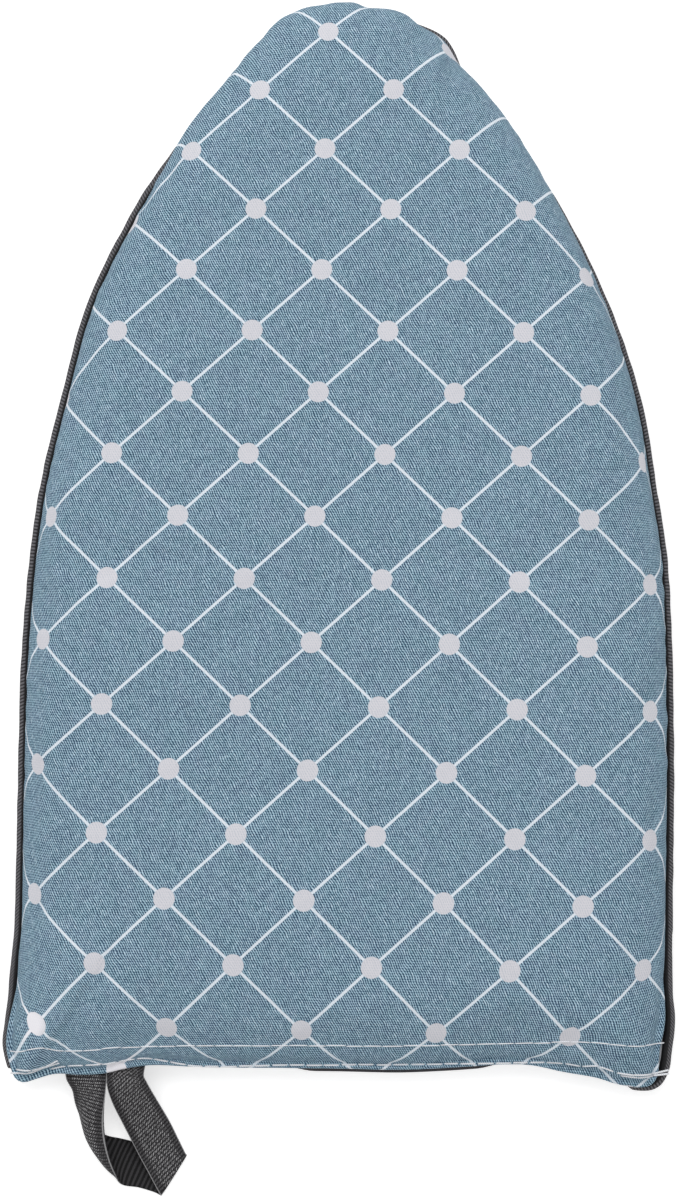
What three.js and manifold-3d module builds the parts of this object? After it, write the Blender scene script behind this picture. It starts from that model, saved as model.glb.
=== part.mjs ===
import * as THREE from 'three';
import { mergeVertices } from 'three/addons/utils/BufferGeometryUtils.js';
import Module from 'manifold-3d';

const wasm = await Module();
wasm.setup();

// Handheld ironing pad, in millimetres. It lies on its back: +Z up, +Y towards the round tip.
// The origin is the middle of the flat back it rests on.

// Driving dimensions
const padHalfWidth = 117.5;
const padHalfLength = 190;
const panelThickness = 0.9;
const pocketDepth = 10;
const liningThickness = 0.6;
const foamThickness = 12;
const feltThickness = 3;
const coverThickness = 0.9;
const layerGap = 0.3;

// Piping: a cord in a folded tape with a sewn flange
const cordRadius = 1.15;
const tapeThickness = 0.4;
const flangeReach = 6;
const tipTuck = 3;

// Face cover: how far in from the edge it reaches its crown, and its turned hem
const sideRoll = 40;
const endRoll = 42;
const hemDepth = 9;
const hemThickness = 2.4;
const hemSetback = 0.4;
const hemRound = 0.6;
const cornerRun = 28;

// Pocket: the back cloth dips from the seam to the flat it rests on
const seamAllowance = 5;
const pocketRoll = 31;
const mouthHem = 10;
const foldStep = 0.6;
const mouthSetback = 0.6;

// Webbing loop
const strapWidth = 15;
const strapThickness = 1;
const tailLength = 7;
const loopDrop = 41.3;

// Thread rows
const threadRadius = 0.25;
const closingInset = 2.2;
const upperRowSetback = 0.4;
const seamRowInset = 2.2;
const backtackGap = 1.3;
const cutOverrun = 2;

// Levels worked out from the layers
const liningBottom = panelThickness + pocketDepth;
const liningTop = liningBottom + liningThickness;
const padBase = liningTop + layerGap;
const padRise = foamThickness + layerGap + feltThickness + layerGap + coverThickness;
const tapeRadius = cordRadius + layerGap + tapeThickness;
const flangeHalf = tapeThickness + layerGap / 2;
const cordLevel = liningBottom - layerGap - flangeHalf;
const panelSeamTop = cordLevel - flangeHalf - layerGap;
const cordInset = tapeRadius;
const seamInset = tapeRadius + tapeRadius + layerGap;
const strapLevel = padBase + strapThickness / 2;
const upperRowInset = hemDepth - upperRowSetback;

// Outline seen from above: shares of the half width and the half length
const edgeShares = [
  [-0.956, -0.988],
  [-0.985, -0.959],
  [-0.999, -0.905],
  [-0.985, -0.832],
  [-0.968, -0.703],
  [-0.956, -0.464],
  [-0.941, -0.170],
  [-0.896, 0.087],
  [-0.828, 0.271],
  [-0.745, 0.455],
  [-0.629, 0.602],
  [-0.489, 0.749],
  [-0.334, 0.859],
  [-0.251, 0.926],
  [-0.159, 0.977],
  [0.010, 1.000],
  [0.183, 0.984],
  [0.302, 0.944],
  [0.368, 0.896],
  [0.504, 0.786],
  [0.653, 0.639],
  [0.801, 0.455],
  [0.902, 0.271],
  [0.953, 0.087],
  [0.985, -0.133],
  [0.996, -0.391],
  [0.991, -0.685],
  [1.000, -0.869],
  [0.988, -0.948],
  [0.962, -0.992],
];
const hemEdgeShares = [
  [0.962, -0.992],
  [0.899, -1.000],
  [0.771, -0.979],
  [0.569, -0.953],
  [0.183, -0.959],
  [-0.263, -0.961],
  [-0.520, -0.970],
  [-0.840, -0.972],
  [-0.890, -0.979],
  [-0.956, -0.988],
];
const hemStationShares = [0.03, 0.07, 0.12, 0.19, 0.27, 0.36, 0.46, 0.56, 0.66, 0.75, 0.82, 0.88, 0.93, 0.97];
const edgeStations = 48;
const innerShare = 0.35;
const crownPlaceShare = -0.05;
const rayFloorShare = 0.6;

// Section of the face from the seam inwards: shares of sideRoll and padRise, and of tipTuck at the tip
const sideRollShares = [
  [0, 0],
  [-0.03, 0.11],
  [-0.045, 0.25],
  [-0.04, 0.44],
  [0.005, 0.64],
  [0.12, 0.83],
  [0.4, 0.95],
  [1, 0.988],
];
const tipShiftShares = [1, 0.2, -0.5, -0.6, -0.6, -0.3, 0, 0];
const tipStartShare = 0.6;
const tipFullShare = 0.85;
const crownRingShare = 0.997;

// Section of the face from the hem inwards: shares of hemRound and hemThickness over the lip that is
// sewn flat, whose depth is a share of the hem's, then of endRoll and the rise
const hemRowShares = [
  [1, 0],
  [0, 0.5],
  [1, 1],
];
const lipDepthShare = 0.36;
const lipDepth = lipDepthShare * hemDepth;
const hemGrooveShare = 0.96;
const endRollShares = [
  [0.055, 0.17],
  [0.155, 0.5],
  [0.33, 0.79],
  [1, 0.985],
];

// Inside of the hem: shares of coverThickness and hemThickness
const hemInnerShares = [
  [0.4, 0],
  [0.4, 0.5],
  [-0.67, 0.79],
  [-2.3, 1.12],
];

// Ends of the felt and foam behind the hem: shares of feltThickness and hemThickness
const feltTopShares = [
  [0, 0.42],
  [-0.93, 1.2],
];
const feltUnderShares = [
  [-0.93, 0.33],
  [-0.87, 0.27],
];
const foamEndShares = [-0.7, 0];
const foamLipShares = [-0.77, 0.06];
const firstFeltRow = 2;
const firstFoamRow = 3;
const foamRoom = 5;

// Webbing loop: its two edges, [x, y, z] shares of strapWidth, loopDrop and the height of the sewn ends
const loopPlaceShare = -0.687;
const loopSteps = 48;
const outerEdgeShares = [
  [-1.01, 0, 1],
  [-0.9, -0.095, 0.78],
  [-0.735, -0.28, 0.3],
  [-0.455, -0.5, 0.13],
  [-0.08, -0.745, 0.075],
  [0.29, -0.906, 0.066],
  [0.755, -0.957, 0.066],
  [1.13, -0.974, 0.075],
  [1.235, -0.988, 0.165],
  [1.085, -0.914, 0.255],
  [0.825, -0.736, 0.345],
  [0.478, -0.525, 0.505],
  [0.221, -0.28, 0.75],
  [0.01, 0, 1],
];
const innerEdgeShares = [
  [-0.01, 0, 1],
  [-0.06, -0.095, 1.05],
  [-0.15, -0.28, 1.18],
  [-0.14, -0.466, 1.26],
  [-0.08, -0.555, 0.93],
  [0.105, -0.57, 0.365],
  [0.525, -0.592, 0.13],
  [1.6, -0.668, 0.085],
  [1.828, -0.668, 0.18],
  [1.69, -0.592, 0.28],
  [1.5, -0.432, 0.405],
  [1.34, -0.313, 0.585],
  [1.13, -0.16, 0.8],
  [1.01, 0, 1],
];

// Materials
const makeFinish = (color, roughness) => new THREE.MeshStandardMaterial({ color, roughness, metalness: 0 });
const printedTwill = makeFinish(0x6c8fa5, 0.85);
const darkTape = makeFinish(0x504e50, 0.8);
const darkCloth = makeFinish(0x4b4a4c, 0.85);
const paleThread = makeFinish(0xd9dce0, 0.6);
const darkThread = makeFinish(0x5a595c, 0.6);
const whiteFelt = makeFinish(0xe6e2da, 0.95);
const sponge = makeFinish(0xd8d4b8, 0.9);
const coatedCloth = makeFinish(0xa9adb2, 0.5);
const webbing = makeFinish(0x57565a, 0.75);

const pad = new THREE.Group();

function addPiece(name, geometry, finish) {
  const piece = new THREE.Mesh(geometry, finish);
  piece.name = name;
  pad.add(piece);
}

// Stations round the outline: up the left edge, over the tip, down the right edge, back along the hem
const planCurve = (shares) => new THREE.CatmullRomCurve3(
  shares.map(([across, along]) => new THREE.Vector3(across * padHalfWidth, along * padHalfLength, 0)),
  false,
  'centripetal',
);
const edgeCurve = planCurve(edgeShares);
const hemCurve = planCurve(hemEdgeShares);
const outline = [
  ...edgeCurve.getPoints(edgeStations - 1),
  ...hemStationShares.map((share) => hemCurve.getPointAt(share)),
];
const stationCount = outline.length;
const axisCount = 3;
const crownPlace = crownPlaceShare * padHalfLength;
const hemLevelShare = hemEdgeShares[hemEdgeShares.length / 2][1];
const innerOutline = outline.map((point) => new THREE.Vector3(
  point.x * innerShare,
  crownPlace + (point.y - crownPlace) * innerShare,
  0,
));

// Each station has a ray towards the crown, stretched so that an inset is measured square to the edge
const rays = outline.map((point, station) => {
  const before = outline[(station + stationCount - 1) % stationCount];
  const after = outline[(station + 1) % stationCount];
  const inward = new THREE.Vector3(after.y - before.y, before.x - after.x, 0).normalize();
  const ray = innerOutline[station].clone().sub(point).normalize();
  return ray.divideScalar(Math.max(rayFloorShare, ray.dot(inward)));
});
const onHem = (station) => station >= edgeStations;
const placed = (station, inset, level) => {
  const point = outline[station].clone().addScaledVector(rays[station], inset);
  return point.setZ(level);
};
const hemWeights = outline.map((point, station) => {
  const hemLine = hemLevelShare * padHalfLength + hemDepth;
  const run = 1 - THREE.MathUtils.smoothstep(point.y, hemLine, hemLine + cornerRun);
  return onHem(station) ? 1 : run;
});
const tipTucks = outline.map((point) => {
  const start = tipStartShare * padHalfLength;
  const full = tipFullShare * padHalfLength;
  return tipTuck * THREE.MathUtils.smoothstep(point.y, start, full);
});
const edgeTrim = (station) => (onHem(station) ? 0 : seamInset);

// A closed solid between an upper and a lower stack of rings, each stack closed at its middle
function ringSolid(upper, lower) {
  const stacks = [upper, lower];
  const vertices = [];
  const triangles = [];
  stacks.forEach((stack, side) => {
    const start = vertices.length / axisCount;
    stack.rings.forEach((ring) => ring.forEach((point) => vertices.push(point.x, point.y, point.z)));
    const middle = vertices.length / axisCount;
    vertices.push(0, crownPlace, stack.middleLevel);
    const addTriangle = (a, b, c) => triangles.push(...(side === 0 ? [a, b, c] : [a, c, b]));
    stack.rings.forEach((ring, row) => ring.forEach((point, station) => {
      const next = (station + 1) % stationCount;
      const here = start + row * stationCount;
      const beyond = here + stationCount;
      const last = row === stack.rings.length - 1;
      if (last) {
        addTriangle(here + next, here + station, middle);
        return;
      }
      addTriangle(here + next, here + station, beyond + station);
      addTriangle(here + next, beyond + station, beyond + next);
    }));
  });
  const lowerStart = upper.rings.length * stationCount + 1;
  for (let station = 0; station < stationCount; station += 1) {
    const next = (station + 1) % stationCount;
    triangles.push(station, next, lowerStart + station);
    triangles.push(next, lowerStart + next, lowerStart + station);
  }
  return solidFrom(vertices, triangles);
}

// A tube whose rings are lists of points, with flat ends
function ringTube(rings, section) {
  const vertices = rings.flat().flatMap((point) => [point.x, point.y, point.z]);
  const triangles = [];
  const size = rings[0].length;
  for (let row = 0; row < rings.length - 1; row += 1) {
    for (let corner = 0; corner < size; corner += 1) {
      const next = (corner + 1) % size;
      const here = row * size;
      const beyond = here + size;
      triangles.push(here + corner, here + next, beyond + corner);
      triangles.push(here + next, beyond + next, beyond + corner);
    }
  }
  const end = (rings.length - 1) * size;
  THREE.ShapeUtils.triangulateShape(section, []).forEach(([first, second, third]) => {
    const turned = THREE.ShapeUtils.isClockWise(section.map((corner) => corner.clone()));
    const [a, b, c] = turned ? [first, third, second] : [first, second, third];
    triangles.push(a, c, b);
    triangles.push(end + a, end + b, end + c);
  });
  return solidFrom(vertices, triangles);
}

// Faces are turned outwards by the sign of the volume
function solidFrom(vertices, triangles) {
  const geometry = new THREE.BufferGeometry();
  geometry.setAttribute('position', new THREE.Float32BufferAttribute(vertices, axisCount));
  const corners = [new THREE.Vector3(), new THREE.Vector3(), new THREE.Vector3()];
  let volume = 0;
  for (let at = 0; at < triangles.length; at += axisCount) {
    corners.forEach((corner, index) => corner.fromArray(vertices, triangles[at + index] * axisCount));
    volume += corners[0].dot(corners[1].clone().cross(corners[2]));
  }
  geometry.setIndex(volume > 0 ? triangles : triangles.toReversed());
  return geometry;
}

const mixRows = (first, second, weight) => first.map(([inset, level], row) => [
  THREE.MathUtils.lerp(inset, second[row][0], weight),
  THREE.MathUtils.lerp(level, second[row][1], weight),
]);

// Outer face of the cover at a station: [inset, height over the base] from the seam or hem to the crown
function faceRows(station) {
  const side = sideRollShares.map(([run, rise], row) => [
    seamInset + run * sideRoll + tipShiftShares[row] * tipTucks[station],
    rise * padRise,
  ]);
  const trim = edgeTrim(station);
  const end = [
    ...hemRowShares.map(([run, rise]) => [hemSetback + run * hemRound + trim, rise * hemThickness]),
    [lipDepth + trim, hemGrooveShare * hemThickness],
    ...endRollShares.map(([run, rise]) => [
      lipDepth + run * endRoll + trim,
      THREE.MathUtils.lerp(hemThickness, padRise, rise),
    ]),
  ];
  return { side, end };
}

const shifted = (rows, offset) => rows.map(([inset, level]) => [inset + offset, level - offset]);

function stack(rowsAt, offset, finishLevel) {
  const rowCount = rowsAt(0).length;
  const rings = Array.from({ length: rowCount }, (unused, row) => outline.map((point, station) => {
    const [inset, level] = rowsAt(station)[row];
    return placed(station, inset, padBase + level);
  }));
  rings.push(innerOutline.map((point) => point.clone().setZ(padBase + finishLevel(crownRingShare) - offset)));
  return { rings, middleLevel: padBase + finishLevel(1) - offset };
}
const crownLevel = (share) => share * padRise;
const flatLevel = () => 0;

// Face cover
const coverOuter = (station) => {
  const { side, end } = faceRows(station);
  return mixRows(side, end, hemWeights[station]);
};
const coverInner = (station) => {
  const { side, end } = faceRows(station);
  const sideInner = shifted(side, coverThickness);
  sideInner[0][1] = 0;
  const trim = edgeTrim(station);
  const endInner = shifted(end, coverThickness);
  hemInnerShares.forEach(([run, rise], row) => {
    endInner[row] = [hemDepth + run * coverThickness + trim, rise * hemThickness];
  });
  return mixRows(sideInner, endInner, hemWeights[station]);
};

// Felt and foam under the cover
const feltOffset = coverThickness + layerGap;
const feltUnderOffset = feltOffset + feltThickness;
const foamOffset = feltUnderOffset + layerGap;
const feltRows = (offset, endShares) => (station) => {
  const { side, end } = faceRows(station);
  const rim = side[firstFeltRow][1] - feltOffset;
  const trim = edgeTrim(station);
  const sideRows = shifted(side, offset).map(([inset, level]) => [inset, Math.max(level, rim)]);
  const endRows = shifted(end, offset);
  endShares.forEach(([run, rise], row) => {
    const inset = hemDepth + offset + run * feltThickness + trim;
    endRows[firstFeltRow + row] = [inset, rise * hemThickness];
  });
  return mixRows(sideRows, endRows, hemWeights[station]).slice(firstFeltRow);
};
const foamRows = (station) => {
  const { side, end } = faceRows(station);
  const trim = edgeTrim(station);
  const sideRows = shifted(side, foamOffset).slice(firstFoamRow);
  const endRows = shifted(end, foamOffset).slice(firstFoamRow);
  const endInset = hemDepth + foamOffset + trim;
  endRows[0] = [endInset + foamLipShares[0] * feltThickness, foamLipShares[1] * hemThickness];
  const sideBase = [seamInset + foamRoom + tipTucks[station], 0];
  const endBase = [endInset + foamEndShares[0] * feltThickness, 0];
  return mixRows([sideBase, ...sideRows], [endBase, ...endRows], hemWeights[station]);
};

const plateRings = (insetAt, level) => ({
  rings: [outline.map((point, station) => placed(station, insetAt(station), level))],
  middleLevel: level,
});

// Joining and cutting of closed solids
function toManifold(geometry) {
  const bare = geometry.clone();
  bare.deleteAttribute('normal');
  bare.deleteAttribute('uv');
  const merged = mergeVertices(bare);
  const vertProperties = new Float32Array(merged.attributes.position.array);
  const triVerts = new Uint32Array(merged.index.array);
  return new wasm.Manifold(new wasm.Mesh({ numProp: axisCount, vertProperties, triVerts }));
}
function toGeometry(manifold) {
  const mesh = manifold.getMesh();
  const geometry = new THREE.BufferGeometry();
  geometry.setAttribute('position', new THREE.Float32BufferAttribute(mesh.vertProperties, axisCount));
  geometry.setIndex(Array.from(mesh.triVerts));
  return geometry;
}

// Webbing ends in the hem: a slot in the hem's underside holds them
const loopPlace = loopPlaceShare * padHalfWidth;
const hemAtLoop = hemEdgeShares[hemEdgeShares.length - 3][1] * padHalfLength;
const tailStart = hemAtLoop;
const swingClearance = strapThickness / 2 + layerGap;
const loopRoot = tailStart - swingClearance;
const tailSpacing = strapWidth + layerGap;
const slotWidth = tailSpacing + tailSpacing + layerGap;
const slotLength = tailLength + cutOverrun + layerGap;
const slotHeight = strapThickness + layerGap + cutOverrun;
const slot = new THREE.BoxGeometry(slotWidth, slotLength, slotHeight);
slot.translate(
  loopPlace,
  tailStart + tailLength + layerGap - slotLength / 2,
  padBase + strapThickness + layerGap - slotHeight / 2,
);
const wholeCover = ringSolid(
  stack(coverOuter, 0, crownLevel),
  stack(coverInner, coverThickness, crownLevel),
);
addPiece('face_cover', toGeometry(toManifold(wholeCover).subtract(toManifold(slot))), printedTwill);

function tail(sideSign) {
  const end = new THREE.BoxGeometry(strapWidth, tailLength, strapThickness);
  return end.translate(loopPlace + sideSign * tailSpacing / 2, tailStart + tailLength / 2, strapLevel);
}
addPiece('loop_end_left', tail(-1), webbing);
addPiece('loop_end_right', tail(1), webbing);

addPiece('felt_layer', ringSolid(
  stack(feltRows(feltOffset, feltTopShares), feltOffset, crownLevel),
  stack(feltRows(feltUnderOffset, feltUnderShares), feltUnderOffset, crownLevel),
), whiteFelt);

addPiece('foam_core', ringSolid(
  stack(foamRows, foamOffset, crownLevel),
  stack((station) => foamRows(station).slice(0, 1), 0, flatLevel),
), sponge);

const liningInset = (station) => (onHem(station) ? hemSetback + hemRound : seamInset + tipTucks[station]);
addPiece('pad_lining', ringSolid(
  plateRings(liningInset, liningTop),
  plateRings(liningInset, liningBottom),
), coatedCloth);

// Pocket panel: a flat back whose sides rise to the seam, with its mouth turned in along the hem
const panelEdge = (station) => (onHem(station) ? mouthSetback : seamInset + tipTucks[station]);
const panelRowInsets = [
  0,
  seamAllowance,
  mouthHem,
  mouthHem + foldStep,
  (mouthHem + pocketRoll) / 2,
  pocketRoll,
];
const foldedRows = 3;
const seamStations = outline.slice(0, edgeStations);
const seamLine = seamStations.map((point, station) => placed(station, panelEdge(station), 0));
function distanceToSeam(point) {
  const segment = new THREE.Line3();
  const nearest = new THREE.Vector3();
  const flat = point.clone().setZ(0);
  return seamLine.slice(1).reduce((least, corner, index) => {
    segment.set(seamLine[index], corner).closestPointToPoint(flat, true, nearest);
    return Math.min(least, nearest.distanceTo(flat));
  }, Infinity);
}
function panelTop(point, folded) {
  const distance = distanceToSeam(point);
  const fall = THREE.MathUtils.smoothstep(distance, seamAllowance, pocketRoll);
  const fold = THREE.MathUtils.smoothstep(distance, seamAllowance + foldStep, mouthHem + mouthHem);
  const extra = folded ? fold * panelThickness : 0;
  return THREE.MathUtils.lerp(panelSeamTop, panelThickness, fall) + extra;
}
function panelRings(isTop) {
  const rings = panelRowInsets.map((rowInset, row) => outline.map((corner, station) => {
    const point = placed(station, panelEdge(station) + rowInset, 0);
    const folded = isTop && onHem(station) && row < foldedRows;
    return point.setZ(panelTop(point, folded) - (isTop ? 0 : panelThickness));
  }));
  const level = isTop ? panelThickness : 0;
  rings.push(innerOutline.map((point) => point.clone().setZ(level)));
  return { rings, middleLevel: level };
}
addPiece('pocket_panel', ringSolid(panelRings(true), panelRings(false)), darkCloth);

// Piping, swept along the edge stations in the same rays as the layers it joins
const pipingStations = outline.slice(1, edgeStations - 1).map((point, index) => index + 1);
const seamRowStations = pipingStations.filter((station) => hemWeights[station] === 0);
function alongEdge(section, inset, level, stations) {
  const rings = stations.map((station) => section.map((corner) => placed(
    station,
    inset + tipTucks[station] + corner.x,
    level + corner.y,
  )));
  return ringTube(rings, section);
}
const arcPoints = (radius, from, to, count) => Array.from({ length: count + 1 }, (unused, step) => {
  const angle = THREE.MathUtils.lerp(from, to, step / count);
  return new THREE.Vector2(radius * Math.cos(angle), radius * Math.sin(angle));
});
const boreRadius = tapeRadius - tapeThickness;
const outerCorner = Math.asin(flangeHalf / tapeRadius);
const boreCorner = Math.asin(layerGap / 2 / boreRadius);
const tapeOuterSides = 7;
const tapeBoreSides = 5;
const cordSides = 6;
const tapeSection = [
  new THREE.Vector2(flangeReach, flangeHalf),
  ...arcPoints(tapeRadius, outerCorner, Math.PI * 2 - outerCorner, tapeOuterSides),
  new THREE.Vector2(flangeReach, -flangeHalf),
  new THREE.Vector2(flangeReach, -layerGap / 2),
  ...arcPoints(boreRadius, Math.PI * 2 - boreCorner, boreCorner, tapeBoreSides),
  new THREE.Vector2(flangeReach, layerGap / 2),
];
const roundSection = (radius, sides) => arcPoints(radius, 0, Math.PI * 2, sides).slice(0, sides);
const boreFit = boreRadius * Math.cos(Math.PI / tapeBoreSides) - layerGap;
addPiece('piping_cover', alongEdge(tapeSection, cordInset, cordLevel, pipingStations), darkTape);
addPiece('piping_cord', alongEdge(
  roundSection(Math.min(cordRadius, boreFit), cordSides),
  cordInset,
  cordLevel,
  pipingStations,
), darkThread);

const threadSides = 4;
const threadSection = roundSection(threadRadius, threadSides);
const threadLift = layerGap + threadRadius;
addPiece('edge_seam_stitching', alongEdge(
  threadSection,
  seamInset + seamRowInset,
  liningTop + threadLift,
  seamRowStations,
), paleThread);

// Thread rows on the hem follow its surface from one hem station to another
function heightOn(rows, inset) {
  const beyond = Math.max(1, rows.findIndex(([reach], row) => row > 1 && reach >= inset));
  const [from, low] = rows[beyond - 1];
  const [to, high] = rows[beyond];
  return THREE.MathUtils.lerp(low, high, (inset - from) / (to - from));
}
function onCover(place, inset) {
  const before = edgeStations + Math.floor(place);
  const after = edgeStations + Math.ceil(place);
  const lift = padBase + threadLift;
  const [first, second] = [before, after].map((station) => placed(
    station,
    inset,
    lift + heightOn(coverOuter(station), inset),
  ));
  return first.lerp(second, place - Math.floor(place));
}
const placesBetween = (from, to) => {
  const count = Math.max(1, Math.ceil(Math.abs(to - from)));
  return Array.from({ length: count + 1 }, (unused, step) => THREE.MathUtils.lerp(from, to, step / count));
};
const threadShape = new THREE.Shape(threadSection);
function threadAlong(points, steps) {
  const extrudePath = new THREE.CatmullRomCurve3(points, false, 'centripetal');
  return new THREE.ExtrudeGeometry(threadShape, { steps, bevelEnabled: false, extrudePath });
}
const rowSteps = 52;
const tackSteps = 10;
const lastHemPlace = hemStationShares.length - 1;
const closingEndShare = 0.085;
const tackStartShare = 0.008;
const tackEndShare = 0.073;
const mouthRowRightShare = 0.17;
const mouthRowLeftShare = 0.75;
const hemPlace = (share) => share * lastHemPlace;
addPiece('cover_hem_stitching', threadAlong(
  placesBetween(0, lastHemPlace).map((place) => onCover(place, upperRowInset)),
  rowSteps,
), paleThread);
const closingPlaces = placesBetween(hemPlace(closingEndShare), hemPlace(1 - closingEndShare));
addPiece('closing_stitching', threadAlong(
  closingPlaces.map((place) => onCover(place, closingInset)),
  rowSteps,
), paleThread);
function backtack(from, to) {
  const out = onCover(from, closingInset);
  const far = onCover(to, closingInset);
  const farBack = onCover(to, closingInset + backtackGap);
  const back = onCover(from, closingInset + backtackGap);
  const turn = far.clone().lerp(farBack, 1 / 2);
  turn.add(far.clone().sub(out).setLength(backtackGap / 2));
  return threadAlong([out, far, turn, farBack, back], tackSteps + tackSteps);
}
addPiece('backtack_right', backtack(hemPlace(tackEndShare), hemPlace(tackStartShare)), paleThread);
addPiece('backtack_left', backtack(hemPlace(1 - tackEndShare), hemPlace(1 - tackStartShare)), paleThread);

// Thread row of the pocket's turned mouth
const mouthRowInset = mouthHem - seamAllowance / 2;
const mouthRowPlaces = placesBetween(hemPlace(mouthRowRightShare), hemPlace(mouthRowLeftShare));
const mouthPoints = mouthRowPlaces.map((place) => {
  const [before, after] = [Math.floor(place), Math.ceil(place)].map((nearPlace) => {
    const point = placed(edgeStations + nearPlace, mouthSetback + mouthRowInset, 0);
    return point.setZ(panelTop(point, true) + threadLift);
  });
  return before.lerp(after, place - Math.floor(place));
});
addPiece('pocket_hem_stitching', threadAlong(mouthPoints, rowSteps), darkThread);

// Hanging loop: one flat strap between two edges, which are curves through chosen points
const strapEdge = (shares) => new THREE.CatmullRomCurve3(
  shares.map(([across, along, height]) => new THREE.Vector3(
    loopPlace + across * strapWidth,
    loopRoot + along * loopDrop,
    height * strapLevel,
  )),
  false,
  'centripetal',
);
const outerEdge = strapEdge(outerEdgeShares);
const innerEdge = strapEdge(innerEdgeShares);
const loopRings = Array.from({ length: loopSteps + 1 }, (unused, step) => {
  const at = step / loopSteps;
  const outer = outerEdge.getPoint(at);
  const inner = innerEdge.getPoint(at);
  const travel = outerEdge.getTangent(at).add(innerEdge.getTangent(at));
  const half = inner.clone().sub(outer).cross(travel).setLength(strapThickness / 2);
  return [outer.clone().add(half), inner.clone().add(half), inner.clone().sub(half), outer.clone().sub(half)];
});
const strapSection = [
  new THREE.Vector2(0, strapThickness),
  new THREE.Vector2(strapWidth, strapThickness),
  new THREE.Vector2(strapWidth, 0),
  new THREE.Vector2(0, 0),
];
addPiece('hanging_loop', ringTube(loopRings, strapSection), webbing);

export default pad;
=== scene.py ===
import math

import bpy
import numpy as np
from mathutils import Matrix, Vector
from mathutils.bvhtree import BVHTree


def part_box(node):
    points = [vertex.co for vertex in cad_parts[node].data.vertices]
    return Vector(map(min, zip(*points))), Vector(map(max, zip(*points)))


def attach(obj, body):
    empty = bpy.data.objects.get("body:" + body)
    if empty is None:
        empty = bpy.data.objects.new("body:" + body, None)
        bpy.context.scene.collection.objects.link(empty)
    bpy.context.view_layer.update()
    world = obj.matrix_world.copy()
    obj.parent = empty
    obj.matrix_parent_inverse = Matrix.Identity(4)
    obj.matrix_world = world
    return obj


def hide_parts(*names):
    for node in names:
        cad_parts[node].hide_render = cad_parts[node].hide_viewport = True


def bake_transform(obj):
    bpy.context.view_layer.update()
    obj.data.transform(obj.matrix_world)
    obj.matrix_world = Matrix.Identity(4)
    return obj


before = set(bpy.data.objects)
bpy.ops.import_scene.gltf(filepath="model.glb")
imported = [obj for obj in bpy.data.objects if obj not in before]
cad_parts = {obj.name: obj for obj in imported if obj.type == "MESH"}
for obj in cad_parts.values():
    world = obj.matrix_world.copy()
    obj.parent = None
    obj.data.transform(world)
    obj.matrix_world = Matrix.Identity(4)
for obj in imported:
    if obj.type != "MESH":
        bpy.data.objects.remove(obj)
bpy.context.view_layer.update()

# Handheld ironing pad lying on its back: +Z up, +Y towards the round tip.
# Sizes are in millimetres, and meshes are scaled to metres when they are made.
mm = 0.001
fullTurn = 2 * math.pi

stage = {
    "frameCentre": (0.35, -18.34),   # middle of the view on the table
    "frameHeight": 419.2,            # how much of the table the long side of the view takes in
    "focusLevel": 14.0,
    "lens": 300.0,
    "sensor": 36.0,
    "clipEnd": 100.0,                # in metres
    "floorHalf": 4000.0,
    "floor": {"colour": (240, 240, 240), "sockets": {"Roughness": 0.9, "Specular IOR Level": 0.0}},
    "floorGlow": 0.55,
    "worldStrength": 0.62,
    "lampSize": 1500.0,
    "lamps": [("keyLamp", (-250, 900, 1500), 17.0), ("underLamp", (0, -300, -1500), 18.0)],
}


# Shapes in numpy

# 0 below low, 1 above high, and 3s^2 - 2s^3 of the share s between them
def easeBetween(values, low, high):
    share = np.clip((np.asarray(values, float) - low) / (high - low), 0, 1)
    return share * share * (3 - 2 * share)


# Up from 0 to 1 between the first two places, and down again between the last two
def upAndDown(values, low, full, fading, end):
    return easeBetween(values, low, full) * (1 - easeBetween(values, fading, end))


# Cubic through every knot. The slope at a knot is the mean of the rates on its two sides, each
# weighed by the other side's gap, and the end slopes are the end rates.
def smoothThrough(knots, values, at):
    knots, at = np.asarray(knots, float), np.asarray(at, float)
    values = np.asarray(values, float)
    flat = values.reshape(len(knots), -1)
    gap = np.diff(knots)[:, None]
    rate = np.diff(flat, axis=0) / gap
    inner = (rate[:-1] * gap[1:] + rate[1:] * gap[:-1]) / (gap[:-1] + gap[1:])
    slope = np.concatenate([rate[:1], inner, rate[-1:]])
    cell = np.clip(np.searchsorted(knots, at, side="right") - 1, 0, len(knots) - 2)
    size = gap[cell]
    share = ((at - knots[cell]) / size[:, 0])[:, None]
    share2, share3 = share ** 2, share ** 3
    result = (
        (2 * share3 - 3 * share2 + 1) * flat[cell]
        + (share3 - 2 * share2 + share) * size * slope[cell]
        + (3 * share2 - 2 * share3) * flat[cell + 1]
        + (share3 - share2) * size * slope[cell + 1]
    )
    return result.reshape((len(at),) + values.shape[1:])


# Points at even steps of length along the smooth curve through the given points. The first
# planColumns give the length, and any more columns ride along.
def curveThrough(points, count, closed=False, planColumns=2):
    wrap, fineness = 3, 40
    points = np.asarray(points, float)
    if closed:
        points = np.concatenate([points[-wrap:], points, points[:wrap]])
    chords = np.linalg.norm(np.diff(points[:, :planColumns], axis=0), axis=1)
    knots = np.concatenate([[0], np.cumsum(np.sqrt(chords))])
    first, last = (knots[wrap], knots[-wrap]) if closed else (knots[0], knots[-1])
    dense = smoothThrough(knots, points, np.linspace(first, last, fineness * len(points)))
    along = lengthsAlong(dense[:, :planColumns])
    at = np.linspace(0, along[-1], count + int(closed))[:count]
    return np.stack([np.interp(at, along, column) for column in dense.T], axis=1)


# A sum of cosines with whole counts of waves round a loop and seeded phases, of mean square one
def ripple(share, fewest, most, seed):
    random = np.random.default_rng(seed)
    counts = np.arange(fewest, most + 1)
    phases = random.uniform(0, fullTurn, len(counts))
    weights = random.uniform(0.5, 1, len(counts))
    waves = np.cos(fullTurn * np.multiply.outer(share, counts) + phases) * weights
    return waves.sum(-1) / math.sqrt((weights ** 2).sum() / 2)


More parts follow.
